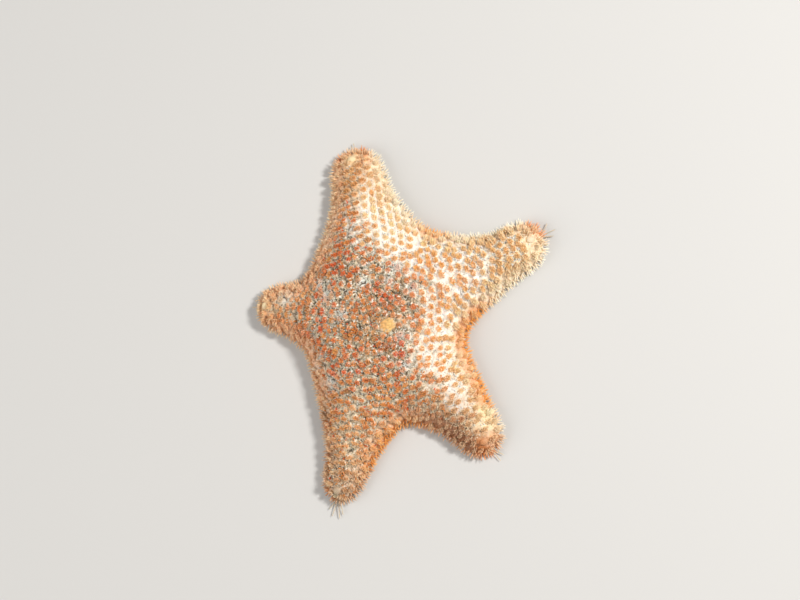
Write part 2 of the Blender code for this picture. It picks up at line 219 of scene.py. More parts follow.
def waves(places, size, seed, count=8):  # a smooth uneven field of about unit size
    spread = random.Random(seed)
    total = np.zeros(len(places))
    for _ in range(count):
        turn, phase = spread.uniform(0, 2 * math.pi), spread.uniform(0, 2 * math.pi)
        rate = 2 * math.pi / (size * spread.uniform(0.7, 1.5))
        total += np.sin((places[:, 0] * math.cos(turn) + places[:, 1] * math.sin(turn)) * rate + phase)
    return total / math.sqrt(count / 2)


def spot(places, x, y, reach):  # a soft round patch about a place in mm
    gap = places - np.array((x, y)) * mm
    return np.exp(-(gap**2).sum(1) / (reach * mm) ** 2)


# The live star's colours by place, shared by the skin and all that grows on it
colours = dict(
    white=(0.95, 0.915, 0.865),
    paleGrey=(0.80, 0.66, 0.47),
    blueGrey=(0.62, 0.62, 0.51),
    netTan=(0.84, 0.66, 0.46),
    olive=(0.33, 0.20, 0.09),
    darkCrease=(0.09, 0.058, 0.028),
    paleCrease=(0.80, 0.54, 0.30),
    orange=(0.78, 0.27, 0.05),
    brightOrange=(0.90, 0.45, 0.14),
    redOrange=(0.80, 0.13, 0.030),
    paleTan=(0.92, 0.68, 0.39),
    cream=(0.95, 0.82, 0.60),
    edgeCream=(0.98, 0.86, 0.71),
    pinkCream=(0.93, 0.66, 0.43),
    edgeOrange=(0.92, 0.44, 0.12),
    flankLeft=(1.0, 0.61, 0.385),
    flankPale=(1.0, 0.72, 0.50),
    # flankBrown: partly the flanks' own brown, partly painted shade; also the tone of the creases
    flankBrown=(0.38, 0.16, 0.075),
    redBrown=(0.62, 0.26, 0.11),
    hazeTan=(0.60, 0.42, 0.24),
    # blueWhite: the pale blue-white of the papulae; in the paleBlue spots partly painted highlight
    blueWhite=(0.80, 0.84, 0.82),
    endTan=(0.74, 0.43, 0.20),
    # mouthShade: painted shade at the middle of the mouth, standing in for its opening
    mouthShade=(0.16, 0.07, 0.035),
    edgeSkin=(0.80, 0.37, 0.13),
    under=(0.86, 0.68, 0.45),
    underCrease=(0.52, 0.30, 0.15),
    tissue=(0.82, 0.71, 0.54),
    feeler=(0.60, 0.50, 0.38),
    sieve=(0.85, 0.54, 0.21),
    sieveShade=(0.78, 0.42, 0.16),
    sieveGroove=(0.62, 0.35, 0.12),
    tipWhite=(1.0, 0.88, 0.62),
    armTan=(0.84, 0.52, 0.24),
    darkSpeck=(0.07, 0.05, 0.026),
    paleSpeck=(0.95, 0.94, 0.88),
)
# Where each tone lies on the photo's animal: soft patches as (x, y, reach), in mm from the disc's middle
marks = dict(
    # The white side is partly the pale net's own colour and partly painted light toward the key lamp
    whiteEdge=[(-30, 21), (-16, 15.4), (-12, 10.2), (-6, 6.2), (-2, 5.6), (2, 6.8), (5, 6.6),
               (7.5, 3.0), (9.5, -0.6), (15, -2.6), (22, -3.2), (30, -3)],  # (y, x) of the white side's edge
    pale=[(-4.6, 13.5, 2.4), (-5.4, 16.5, 1.4), (-2.2, 11.6, 1.5), (-1.1, 7.3, 0.9), (-14.2, 3.7, 1.6)],
    soft=[(-14.2, 3.7, 2.4), (-6.0, -17.0, 4.0), (-6.4, -21.5, 3.4), (17.4, 10.6, 3.3),
          (13.4, 9.6, 2.0)],  # where the tufts are a duller tan
    flankPale=[(-7.9, 20.5, 2.3), (-8.2, 17.0, 2.3), (-8.9, 13.2, 2.6)],
    # paleBlue: pale blue-white spots, partly pale tissue and partly painted highlight on the wet skin
    paleBlue=[(-6.9, 3.6, 1.0), (-9.6, -6.3, 0.7), (-8.6, 5.2, 0.7), (2.2, 5.4, 0.6), (3.9, -2.6, 0.6),
              (-8.6, -5.0, 0.6), (-3.6, 12.6, 0.8), (5.4, 4.2, 0.6), (-14.4, 3.5, 1.2),
              (-6.9, -8.8, 1.0), (3.4, 7.2, 0.9), (-4.6, 0.6, 0.8), (4.6, -6.6, 0.8), (-1.5, 5.0, 0.7)],
    faint=[(-1.4, 12.5, 3.0), (-2.6, 17.0, 3.0), (1.7, 11.9, 2.1), (0.2, 14.8, 2.2)],
    dullEnd=[(-4.4, 21.3, 2.8)],
    red=[(-4.5, 8, 3.2), (2.5, 3, 3.0), (-4.5, -7, 2.4), (3.5, -5, 2.6), (-8, 0, 2.5), (-9.3, -2.0, 1.2),
         (-7.4, -6.3, 1.2), (4.6, -3.6, 1.2)],
    dark=[(2.0, 2.5, 3.6), (1.5, -5.0, 3.2), (-4.5, 7.5, 2.8), (5.2, -1.8, 2.0), (-3.0, -1.0, 3.0),
          (4.0, 4.2, 2.4)],
    knob=[(14.7, -14.2, 1.7)],  # the yellow net near the end of the lower right arm
    tan=[(0.3, 0.1, 1.0), (-0.3, -1.6, 0.8), (-1.0, -2.7, 0.6)],  # the smooth patch by the madreporite
    shade=[(-6.6, -23.6, 3.6)],  # painted shade at the end of the lower left arm, where the light falls off
    tipOrange=[(-3.6, 25.0, 1.0), (-7.2, 24.2, 1.0), (21.2, 13.2, 1.0), (22.7, 12.2, 0.9),
               (14.2, -17.0, 0.8), (14.4, -18.4, 0.9), (-8.6, -24.4, 1.0)],
    tipCream=[(-4.7, 23.5, 1.0), (14.6, -12.9, 0.8), (-7.4, -24.6, 0.6), (-17.6, 2.7, 0.8)],
    edge=[(12.8, -4.0, 5.2), (12.4, 0.6, 2.6), (14.2, -10.5, 2.6), (-0.6, -16.9, 2.6),
          (-2.0, -20.3, 1.4), (3.6, -15.2, 2.8), (7.0, 13.0, 2.6)],
    # brown: flanks turned from the light, partly their own pinkish brown and partly painted shade
    brown=[(9.0, -16.8, 4.6), (5.6, -15.8, 2.0), (12.4, -19.0, 3.1), (-9.5, -14.0, 1.6), (-9.2, -19.0, 1.6)],
)


def layered(tint, layers):  # lays named colours over a tint, each by its share
    for name, share in layers:
        tint = mixed(tint, colours[name], share)
    return tint


def patches(places, name):
    return np.clip(sum(spot(places, *patch) for patch in marks[name]), 0, 1)


def zonesAt(places):
    ys, xs = np.array(marks["whiteEdge"]).T * mm
    beyond = places[:, 0] - np.interp(places[:, 1], ys, xs)
    # white: the right side, partly its own pale colour and partly painted light toward the key lamp
    white = smoothStep(-1.2, 1.2, beyond / (1.7 * mm) + 0.5 * waves(places, 3 * mm, 21)
                       + 0.35 * waves(places, 1.3 * mm, 22))
    gap = marginDistance(places)
    left = smoothStep(-3 * mm, -8 * mm, places[:, 0]) * smoothStep(-15 * mm, -12 * mm, places[:, 0])
    far = np.linalg.norm(places, axis=1)
    lowerLeft = smoothStep(-8 * mm, -13 * mm, places[:, 1]) * smoothStep(4 * mm, 0, places[:, 0])
    flank = smoothStep(1, 0, (gap / mm - 1.0) / (1.3 + 1.2 * left)) * (1 - 0.55 * lowerLeft)
    near = np.maximum(0.35 + 0.65 * smoothStep(17 * mm, 9 * mm, far), 0.8 * lowerLeft)
    share = np.max([places @ polar(arm["direction"]) / arm["length"] for arm in star["arms"]], axis=0)
    warm = smoothStep(0.60, 0.80, share) * (1 - lowerLeft)  # the ends of the arms are a warmer tone
    warm = warm * (1 - 0.8 * patches(places, "knob"))
    return SimpleNamespace(
        white=white, lowerLeft=lowerLeft, flank=flank, gap=gap, far=far,
        rim=smoothStep(1.4 * mm, 0.6 * mm, gap), dark=patches(places, "dark") * (1 - white),
        shade=1 - 0.3 * patches(places, "shade")[:, None], grey=(1 - white) * (1 - 0.7 * flank) * near,
        warm=1 - warm[:, None] * np.array((0.07, 0.13, 0.22)))


# The white lines along the right half of the upper arm, between its rows of plates
# Their white is partly painted light, as on the rest of the white side
ridges = dict(arm=0, first=7.5 * mm, wide=0.15 * mm, high=0.15 * mm, spacing=1.17 * mm, squeeze=0.34)


def ridgeFade(places):  # 1 where those lines are at their plainest
    along = polar(star["arms"][ridges["arm"]]["direction"])
    aside, out = places @ -leftOf(along), places @ along
    fade = smoothStep(ridges["first"], 11 * mm, out) * smoothStep(23 * mm, 19 * mm, out)
    return np.where(aside > 0, fade, 0.0)


def ridgeAt(places):  # 1 on such a line, 0 off it
    along = polar(star["arms"][ridges["arm"]]["direction"])
    aside, out = places @ -leftOf(along), places @ along
    found = np.zeros(len(places))
    near = np.flatnonzero((aside > 0) & (aside < 8 * mm) & (out > ridges["first"]))
    shares = np.linspace(0, 1, 13)
    path = (along * out[near, None])[:, None] + (
        -leftOf(along) * aside[near, None])[:, None] * shares[None, :, None]
    levels = domeAt(path.reshape(-1, 2)).reshape(len(near), len(shares))
    run = np.hypot(np.diff(levels, axis=1), aside[near, None] / 12).sum(1) / ridges["spacing"]
    run += 0.10 * waves(places[near], 4 * mm, 91)
    off = np.abs(run - np.floor(run) - 0.5) * ridges["spacing"]
    fade = ridgeFade(places[near]) * smoothStep(0.3, 0.9, run)
    found[near] = smoothStep(1.6 * ridges["wide"], 0.4 * ridges["wide"], off) * fade
    return found


def backTint(places, crease=0.0, core=0.0):
    zones = zonesAt(places)
    patchy = smoothStep(-0.8, 1.0, waves(places, 2.4 * mm, 4) + 0.7 * waves(places, 1.0 * mm, 5))
    cool = smoothStep(0.0, 1.3, waves(places, 3.1 * mm, 14))
    left = mixed(colours["paleGrey"], colours["blueGrey"], 0.8 * cool)
    outer = smoothStep(10 * mm, 16 * mm, zones.far) * (1 - 0.6 * zones.lowerLeft)
    left = layered(left, [
        ("netTan", outer),
        ("olive", 0.85 * patchy * (0.25 + 0.75 * zones.dark) * zones.grey),
        ("white", 0.7 * patches(places, "pale")),
        ("blueWhite", 0.85 * patches(places, "paleBlue"))])
    rightEnd = zones.white * smoothStep(14 * mm, 19 * mm, places[:, 0])
    rim = mixed(colours["flankLeft"], colours["edgeCream"], zones.white)
    rim = mixed(rim, colours["flankPale"], patches(places, "flankPale"))
    # The white side: partly the skin's own pale net, partly painted light toward the key lamp
    body = mixed(left, colours["white"], zones.white)
    body = mixed(body, colours["cream"], 0.8 * rightEnd)
    body = mixed(body, colours["endTan"], 0.85 * patches(places, "dullEnd"))
    body = mixed(body, rim, 0.75 * zones.flank)
    body = layered(body, [
        ("flankBrown", 0.85 * patches(places, "brown")),
        ("edgeSkin", 0.8 * patches(places, "edge") * zones.rim),
        ("tipWhite", 0.85 * patches(places, "knob")),
        ("orange", 0.5 * patches(places, "tipOrange")),
        ("tipWhite", patches(places, "tipCream")),
        ("hazeTan", 0.8 * patches(places, "tan"))])
    body = mixed(body, colours["white"], 0.9 * ridgeAt(places) * zones.white) * zones.shade
    body = mixed(body * zones.warm, tuftTint(places, 0),
                 (0.65 - 0.1 * zones.white) * np.asarray(core))
    seam = mixed(colours["flankBrown"], colours["darkCrease"], np.clip(zones.grey * 1.3, 0, 1))
    seam = mixed(seam, colours["paleCrease"], zones.white)
    uneven = np.clip(0.50 + 0.5 * waves(places, 1.7 * mm, 8), 0.1, 1)
    depth = (1 - 0.45 * zones.white) * uneven
    return mixed(body, seam, np.clip(crease * depth, 0, 1))


def tuftTint(places, seed):
    zones = zonesAt(places)
    draw = np.random.default_rng(seed)
    stray = draw.normal(size=(3, len(places))) if seed else np.zeros((3, 1))
    # Tufts paler on the white side: partly their own tone, partly painted light toward the key lamp
    faint = 0.85 * zones.white * smoothStep(4.2 * mm, 1.6 * mm, zones.gap)
    outer = smoothStep(15 * mm, 21 * mm, zones.far) * (1 - 0.7 * zones.lowerLeft)
    faint = np.maximum(faint, 0.4 * outer)
    faint = np.maximum(faint, 0.95 * patches(places, "faint") * zones.white)
    tint = mixed(colours["orange"], colours["brightOrange"], zones.white)
    tint = layered(tint, [
        ("armTan", zones.white * smoothStep(11 * mm, 17 * mm, zones.far)),
        ("paleTan", np.clip(faint + 0.20 * stray[0], 0, 1)),
        ("brightOrange", np.clip(-0.4 * stray[1], 0, 0.7))])
    red = patches(places, "red") * (1 - zones.white)
    redder = red * 0.75 + 0.28 * stray[1] * (1 - 0.75 * zones.white)
    tint = mixed(tint, colours["redOrange"], np.clip(redder, 0, 0.95))
    dull = np.clip(0.5 * stray[2] - 0.35, 0, 0.75) * zones.grey
    tint = mixed(tint, colours["olive"], dull)
    edge = smoothStep(1.6 * mm, 0.7 * mm, zones.gap)
    tint = layered(tint, [
        ("edgeCream", 0.85 * zones.white * edge),
        ("endTan", 0.7 * patches(places, "dullEnd")),
        ("armTan", (0.55 + 0.25 * zones.white) * patches(places, "soft")),
        ("flankLeft", 0.62 * zones.flank * (1 - zones.white)),
        ("flankPale", 0.6 * patches(places, "flankPale") * zones.flank),
        ("flankBrown", 0.80 * patches(places, "brown")),
        ("paleTan", 0.7 * patches(places, "knob")),
        ("edgeOrange", 0.9 * patches(places, "edge") * zones.rim),
        ("orange", patches(places, "tipOrange")),
        ("tipWhite", patches(places, "tipCream")),
        ("blueWhite", 0.6 * patches(places, "paleBlue")),
        ("hazeTan", 0.85 * patches(places, "tan"))])
    return tint * zones.shade * zones.warm


def fringeTint(places):
    zones = zonesAt(places)
    tint = mixed(colours["pinkCream"], colours["edgeCream"], zones.white)
    tint = layered(tint, [
        ("flankPale", patches(places, "flankPale")),
        ("flankBrown", 0.45 * patches(places, "brown")),
        ("edgeOrange", patches(places, "edge"))])
    return mixed(tint, colours["orange"], patches(places, "tipOrange")) * zones.shade


# Where each place lies on an unwrap of the skin: rays from the middle, laid out at their true length
unwrap = dict(rays=360, steps=150, reach=28 * mm, scale=7.4)  # texture widths to a metre
rayAngles = np.arange(unwrap["rays"]) * 2 * math.pi / unwrap["rays"]
rayReach = np.linspace(0, unwrap["reach"], unwrap["steps"])
rayPlaces = (rayReach[:, None, None] * roundWays(rayAngles)[None]).reshape(-1, 2)
rayHeights = domeAt(rayPlaces).reshape(unwrap["steps"], unwrap["rays"])
raySlopes = np.diff(rayHeights, axis=0)
raySteps = np.minimum(np.hypot(raySlopes, rayReach[1]), 2.5 * rayReach[1])
rayRuns = np.vstack((np.zeros(unwrap["rays"]), np.cumsum(raySteps, axis=0)))


def armWay(place):  # the way out along the arm that a place belongs to
    return max((polar(arm["direction"]) for arm in star["arms"]), key=lambda way: float(place @ way))


def rootUv(places, up=True):
    places = np.atleast_2d(places)
    far = np.linalg.norm(places, axis=1)
    ray = np.round(np.arctan2(places[:, 1], places[:, 0]) / (2 * math.pi) * unwrap["rays"]).astype(int)
    level = np.clip(far / rayReach[1], 0, unwrap["steps"] - 1.001)
    low = level.astype(int)
    ray %= unwrap["rays"]
    run = rayRuns[low, ray] * (1 - level + low) + rayRuns[low + 1, ray] * (level - low)
    run = run if up else far
    out = places / np.maximum(far, 1e-9)[:, None]
    return np.array((0.25 if up else 0.75, 0.5)) + out * run[:, None] * unwrap["scale"]


# Materials
def linkInto(tree, node, links):  # links are inlet: (the node it comes from, its outlet)
    for inlet, (source, outlet) in links.items():
        tree.links.new(source.outputs[outlet], node.inputs[inlet])


def setInlets(node, values):
    for inlet, value in values.items():
        node.inputs[inlet].default_value = value


def addNode(tree, kind, links, values, **settings):
    node = tree.nodes.new("ShaderNode" + kind)
    for name, setting in settings.items():
        setattr(node, name, setting)
    setInlets(node, values)
    linkInto(tree, node, links)
    return node


def newGroup(name, inlets, outlets):
    group = bpy.data.node_groups.new(name, "ShaderNodeTree")
    for label, value in inlets.items():
        kind = "NodeSocketColor" if isinstance(value, tuple) else "NodeSocketFloat"
        group.interface.new_socket(label, in_out="INPUT", socket_type=kind).default_value = value
    for label, kind in outlets.items():
        group.interface.new_socket(label, in_out="OUTPUT", socket_type=kind)
    return group, group.nodes.new("NodeGroupInput"), group.nodes.new("NodeGroupOutput")


def grainGroup():  # small uneven colour, gloss and relief, as live tissue has
    group, inside, outside = newGroup(
        "tissueGrain",
        {"Tint": (0.8, 0.8, 0.8, 1), "Grain Size": 0.0002, "Colour Change": 0.2, "Gloss Change": 0.1,
         "Roughness": 0.5},
        dict(Colour="NodeSocketColor", Roughness="NodeSocketFloat", Height="NodeSocketFloat"))
    place = addNode(group, "TexCoord", {}, {})
    rate = addNode(group, "Math", {1: (inside, "Grain Size")}, {0: 1.0}, operation="DIVIDE")
    noise = addNode(group, "TexNoise", {"Vector": (place, "Object"), "Scale": (rate, 0)},
                    {"Detail": 3.0, "Roughness": 0.6})
    centred = addNode(group, "Math", {0: (noise, "Fac")}, {1: 0.5}, operation="SUBTRACT")
    change = addNode(group, "Math", {0: (centred, 0), 1: (inside, "Colour Change")}, {2: 1.0},
                     operation="MULTIPLY_ADD")
    scaled = addNode(group, "VectorMath", {}, {}, operation="SCALE")
    linkInto(group, scaled, {0: (inside, "Tint"), "Scale": (change, 0)})
    gloss = addNode(group, "Math", {0: (centred, 0), 1: (inside, "Gloss Change"), 2: (inside, "Roughness")},
                    {}, operation="MULTIPLY_ADD", use_clamp=True)
    linkInto(group, outside, dict(Colour=(scaled, 0), Roughness=(gloss, 0), Height=(noise, "Fac")))
    return group


tissueGrain = grainGroup()


def tissueFinish(name, finish):  # the piece's own tint, with grain, gloss and relief
    made = bpy.data.materials.new(name)
    made.use_nodes = True
    tree = made.node_tree
    tint = addNode(tree, "Attribute", {}, {}, attribute_name="tint")
    grain = addNode(tree, "Group", {}, {}, node_tree=tissueGrain)
    linkInto(tree, grain, {"Tint": (tint, "Color")})
    setInlets(grain, {"Grain Size": finish["grain"], "Colour Change": finish["change"],
                      "Gloss Change": 0.3, "Roughness": finish["roughness"]})
    bump = addNode(tree, "Bump", {"Height": (grain, "Height")},
                   {"Distance": finish["relief"], "Strength": 0.8})
    shader = tree.nodes["Principled BSDF"]
    linkInto(tree, shader, {"Base Color": (grain, "Colour"), "Roughness": (grain, "Roughness"),
                            "Normal": (bump, "Normal")})
    setInlets(shader, {
        "Subsurface Weight": finish["soft"], "Subsurface Radius": (1.0, 0.55, 0.35),
        "Subsurface Scale": finish.get("softDepth", 0.0003), "Coat Weight": finish["wet"],
        "Coat Roughness": 0.28, "Specular IOR Level": 0.35})
    return made


def speckGroup():  # small dark pores and pale flecks, as strong as the piece's own specks say
    group, inside, outside = newGroup(
        "tissueSpecks",
        dict(Tint=(0.8, 0.8, 0.8, 1), Amount=0.5, Size=0.0003, Dark=(0, 0, 0, 1), Pale=(1, 1, 1, 1)),
        dict(Colour="NodeSocketColor"))
    coordinates = addNode(group, "TexCoord", {}, {})
    rate = addNode(group, "Math", {1: (inside, "Size")}, {0: 1.0}, operation="DIVIDE")
    below = (inside, "Tint")
    for tone, low, high, move in (("Dark", 0.54, 0.62, 0.0), ("Pale", 0.56, 0.66, 0.37)):
        place = addNode(group, "Mapping", {"Vector": (coordinates, "Object")},
                        {"Location": (move, move, move)})
        noise = addNode(group, "TexNoise", {"Vector": (place, "Vector"), "Scale": (rate, 0)},
                        {"Detail": 1.5})
        cut = addNode(group, "MapRange", {"Value": (noise, "Fac")}, {"From Min": low, "From Max": high})
        share = addNode(group, "Math", {0: (cut, "Result"), 1: (inside, "Amount")}, {},
                        operation="MULTIPLY")
        blend = addNode(group, "Mix", {}, {}, data_type="RGBA")
        linkInto(group, blend, {0: (share, 0), 6: below, 7: (inside, tone)})
        below = (blend, 2)
    linkInto(group, outside, dict(Colour=below))
    return group


def addSpecks(made, size):  # puts the specks between a finish's tint and its grain
    tree = made.node_tree
    grain = next(node for node in tree.nodes if node.type == "GROUP")
    tint = grain.inputs["Tint"].links[0].from_node
    amount = addNode(tree, "Attribute", {}, {}, attribute_name="speck")
    specks = addNode(tree, "Group", {}, {}, node_tree=speckGroup())
    setInlets(specks, dict(Size=size, Dark=(*colours["darkSpeck"], 1), Pale=(*colours["paleSpeck"], 1)))
    linkInto(tree, specks, {"Tint": (tint, "Color"), "Amount": (amount, "Fac")})
    linkInto(tree, grain, {"Tint": (specks, "Colour")})


skinFinish = tissueFinish("starSkin", dict(grain=0.00022, change=0.55, roughness=0.5, relief=0.00009,
                                           soft=0.12, wet=0.10))
tuftFinish = tissueFinish("tuftSpines", dict(grain=0.00012, change=0.35, roughness=0.52, relief=0.00003,
                                             soft=0.12, wet=0.06))
feetFinish = tissueFinish("tubeFeet", dict(grain=0.0003, change=0.2, roughness=0.3, relief=0.00002,
                                           soft=0.5, softDepth=0.0006, wet=0.3))
gillFinish = tissueFinish("gillBumps", dict(grain=0.0001, change=0.3, roughness=0.4, relief=0.00002,
                                            soft=0.2, wet=0.12))
plateFinish = tissueFinish("hardPlate", dict(grain=0.00016, change=0.3, roughness=0.5, relief=0.00005,
                                             soft=0.1, wet=0.08))
addSpecks(skinFinish, 0.00030)

# Helpers for modelling one small form by hand and growing many of it
def vertexArray(mesh, kind="co"):
    values = np.empty(len(mesh.vertices) * 3)
    mesh.vertices.foreach_get(kind, values)
    return values.reshape(-1, 3)


def smoothFaces(mesh):
    mesh.polygons.foreach_set("use_smooth", np.ones(len(mesh.polygons), bool))


def treeOf(points):
    tree = kdtree.KDTree(len(points))
    for number, point in enumerate(points):
        tree.insert(point, number)
    tree.balance()
    return tree


def deselect():
    for thing in bpy.context.selected_objects:
        thing.select_set(False)


def beginEdit(piece):
    deselect()
    bpy.context.view_layer.objects.active = piece
    piece.select_set(True)
    bpy.ops.object.mode_set(mode="EDIT")
    bpy.ops.mesh.select_all(action="SELECT")


def takeForm(piece):  # the points and triangles of a small form, which then leaves the scene
    beginEdit(piece)
    bpy.ops.mesh.remove_doubles(threshold=1e-4)
    bpy.ops.mesh.normals_make_consistent(inside=False)
    bpy.ops.mesh.quads_convert_to_tris()
    bpy.ops.object.mode_set(mode="OBJECT")
    mesh = piece.data
    points = np.array([vert.co for vert in mesh.vertices])
    faces = np.array([list(face.vertices) for face in mesh.polygons])
    bpy.data.objects.remove(piece)
    bpy.data.meshes.remove(mesh)
    return points, faces


def spikeForm(sides, rings):  # rings are (height, radius) from the root to the blunt end, 1 high
    deselect()
    bpy.ops.mesh.primitive_circle_add(vertices=sides, radius=rings[0][1], location=(0, 0, rings[0][0]))
    spike = bpy.context.active_object
    beginEdit(spike)
    for (low, first), (high, second) in zip(rings, rings[1:]):
        bpy.ops.mesh.extrude_region_move(TRANSFORM_OT_translate=dict(value=(0, 0, high - low)))
        share = second / first
        bpy.ops.transform.resize(value=(share, share, 1), center_override=(0, 0, high))
    bpy.ops.mesh.edge_face_add()
    bpy.ops.object.mode_set(mode="OBJECT")
    bpy.ops.object.transform_apply(location=True, rotation=True, scale=True)
    return takeForm(spike)


def bumpForm(segments, rings):  # the upper half of a ball, 1 across its root and 1 high
    deselect()
    bpy.ops.mesh.primitive_uv_sphere_add(segments=segments, ring_count=rings, radius=1)
    bump = bpy.context.active_object
    beginEdit(bump)
    bpy.ops.mesh.bisect(plane_co=(0, 0, -0.2), plane_no=(0, 0, 1), clear_inner=True)
    bpy.ops.object.mode_set(mode="OBJECT")
    return takeForm(bump)


def aimedSides(ways, draw):  # two directions square to each way, turned at random
    helper = np.where(np.abs(ways[:, 2:3]) < 0.9, np.array((0.0, 0, 1)), np.array((1.0, 0, 0)))
    side = unitLength(np.cross(helper, ways))
    across = np.cross(ways, side)
    turn = draw.uniform(0, 2 * math.pi, len(ways))[:, None]
    return side * np.cos(turn) + across * np.sin(turn), across * np.cos(turn) - side * np.sin(turn)


def meshPiece(name, points, faces, tints, uvs, finish):
    mesh = bpy.data.meshes.new(name)
    mesh.vertices.add(len(points))
    mesh.loops.add(faces.size)
    mesh.polygons.add(len(faces))
    mesh.vertices.foreach_set("co", (points + shift).astype(np.float32).ravel())
    mesh.polygons.foreach_set("loop_start", np.arange(0, faces.size, 3, dtype=np.int32))
    mesh.polygons.foreach_set("vertices", faces.astype(np.int32).ravel())
    smoothFaces(mesh)
    mesh.update(calc_edges=True)
    paintTint(mesh, tints)
    sheet = mesh.uv_layers.new(name="OFBake")
    sheet.data.foreach_set("uv", uvs[faces.ravel()].astype(np.float32).ravel())
    mesh.materials.append(finish)
    piece = bpy.data.objects.new(name, mesh)
    bpy.context.scene.collection.objects.link(piece)
    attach(piece, "root")
    return piece


def paintTint(mesh, tints):
    layer = mesh.attributes.new("tint", "FLOAT_COLOR", "POINT")
    values = np.ones((len(tints), 4), np.float32)
    values[:, :3] = np.clip(tints, 0, 1)
    layer.data.foreach_set("color", values.ravel())


shift = np.array((*star["centre"], 0.0))


def growPiece(name, form, grown, finish):
    # grown holds, for each copy: root, way, width, length, rootTint, tipTint, uv, and bend if it curves
    points, faces = form
    draw = np.random.default_rng(len(grown["root"]))
    side, across = aimedSides(grown["way"], draw)
    count, size = len(grown["root"]), len(points)
    x, y, z = points.T
    width, length = grown["width"][:, None, None], grown["length"][:, None, None]
    placed = grown["root"][:, None, :] + width * (x[:, None] * side[:, None] + y[:, None] * across[:, None])
    placed += length * z[:, None] * grown["way"][:, None]
    if "bend" in grown:
        placed += length * np.square(z)[:, None] * grown["bend"][:, None]
    share = np.clip(z, 0, 1)[None, :, None]
    tints = grown["rootTint"][:, None] * (1 - share) + grown["tipTint"][:, None] * share
    patch = np.stack((x, y), axis=1) * 0.0005 / max(1e-9, np.abs(points[:, :2]).max())
    uvs = grown["uv"][:, None] + patch[None]
    allFaces = faces[None] + np.arange(count)[:, None, None] * size
    return meshPiece(name, placed.reshape(-1, 3), allFaces.reshape(-1, 3), tints.reshape(-1, 3),
                     uvs.reshape(-1, 2), finish)


def single(uv, width, length, **vectors):  # one copy's values, as growPiece reads them
    rows = {key: np.array([vector], float) for key, vector in vectors.items()}
    return dict(rows, uv=uv, width=np.array([width]), length=np.array([length]))


regions = ["disc"] + ["arm_" + arm["name"] for arm in star["arms"]]


def regionOf(places):
    share = np.array([places @ polar(arm["direction"]) / arm["length"] for arm in star["arms"]])
    return np.where(share.max(0) > 0.42, share.argmax(0) + 1, 0)


def growByRegion(kind, form, grown, finish):
    found = regionOf(grown["root"][:, :2])
    for number, region in enumerate(regions):
        chosen = found == number
        if chosen.any():
            own = {key: value[chosen] for key, value in grown.items()}
            growPiece(kind + "_" + region, form, own, finish)
    print(kind, len(found), "copies,", len(found) * len(form[1]), "triangles")


def joinGrown(parts):
    return {key: np.concatenate([part[key] for part in parts]) for key in parts[0]}


# Where the plates of the back lie: in staggered rows beside each arm's line
plates = dict(rowGap=1.17 * mm, plateGap=1.30 * mm, stray=0.18 * mm, closest=0.82 * mm, spareGap=0.92 * mm,
              discReach=5.2 * mm, discGap=0.92 * mm, lowest=0.30 * mm, fromSieve=0.25 * mm,
              fromTip=0.2 * mm)
sievePlate = dict(place=polar(-26.0, 2.4 * mm), radius=1.12 * mm, high=0.40 * mm)
tipPlate = dict(back=1.3 * mm, radius=0.62 * mm, high=0.46 * mm)


def latticePlaces():
    places = []
    half = math.radians(36)
    for index, arm in enumerate(star["arms"]):
        along = polar(arm["direction"])
        for side, hollow in ((-1, star["hollows"][index - 1]), (1, star["hollows"][index])):
            between = polar(hollow["direction"])
            for station in range(1, int(2 * arm["length"] / plates["plateGap"])):
                out = station * plates["plateGap"] / 2
                aside = np.linspace(0, out * math.tan(half), 80)[:, None]
                path = along * (out - aside / math.tan(half)) + between * aside / math.sin(half)
                steps = np.diff(np.column_stack((path, domeAt(path))), axis=0)
                run = np.concatenate(([0.0], np.cumsum(np.linalg.norm(steps, axis=1))))
                first = station % 2 if station % 2 or side > 0 else 2
                straight = index == ridges["arm"] and side < 0 and out > ridges["first"]
                if straight and station % 2:
                    continue
                rows = int(run[-1] / plates["rowGap"]) + 1
                for row in range(1, rows) if straight else range(first, rows, 2):
                    at = np.interp(row * plates["rowGap"], run, np.arange(len(run)))
                    places.append([np.interp(at, np.arange(len(run)), path[:, k]) for k in (0, 1)])
    return np.array(places)


def spreadPlates():
    draw = random.Random(11)
    ordered = [place for place in latticePlaces() if np.linalg.norm(place) > plates["discReach"]]
    gap = plates["discGap"]
    rings = int(plates["discReach"] / gap)
    for ring in range(rings + 1):  # smaller, uneven plates over the middle of the disc
        for k in range(max(1, round(2 * math.pi * ring))):
            ordered.append(polar(360 * k / max(1, round(2 * math.pi * ring)) + 40 * ring, ring * gap))
    ordered = np.array(ordered)
    calm = 1 - 0.65 * ridgeFade(ordered)[:, None]
    ordered = ordered + [[draw.gauss(0, plates["stray"]) for _ in (0, 1)] for _ in ordered] * calm
    spare = np.array([[draw.uniform(-26, 26) * mm, draw.uniform(-28, 28) * mm] for _ in range(9000)])
    rank = np.concatenate((np.zeros(len(ordered)), np.ones(len(spare))))
    ordered = np.concatenate((ordered, spare))
    held = insideMargin(ordered) & (marginDistance(ordered) > plates["lowest"])
    ordered, rank = ordered[held], rank[held]
    points, ways = surfaceAt(ordered)
    shields = [polar(arm["direction"], arm["length"] - tipPlate["back"]) for arm in star["arms"]]
    kept = []
    for number, point in enumerate(points):
        near = plates["spareGap"] if rank[number] else plates["closest"]
        near *= 1 if np.linalg.norm(point[:2]) > plates["discReach"] else 0.85
        if np.linalg.norm(point[:2] - sievePlate["place"]) < sievePlate["radius"] + plates["fromSieve"]:
            continue
        if (min(np.linalg.norm(point[:2] - shield) for shield in shields)
                < tipPlate["radius"] + plates["fromTip"]):
            continue
        if kept and np.linalg.norm(points[kept] - point, axis=1).min() < near:
            continue
        kept.append(number)
    return points[kept], ways[kept]


platePoints, plateWays = spreadPlates()
plateTree = treeOf(platePoints)
print("plates of the back:", len(platePoints))


def nearest(tree, points, count):  # how far each point is from the nearest few of a tree
    return np.array([[hit[2] for hit in tree.find_n(point, count)] for point in points])


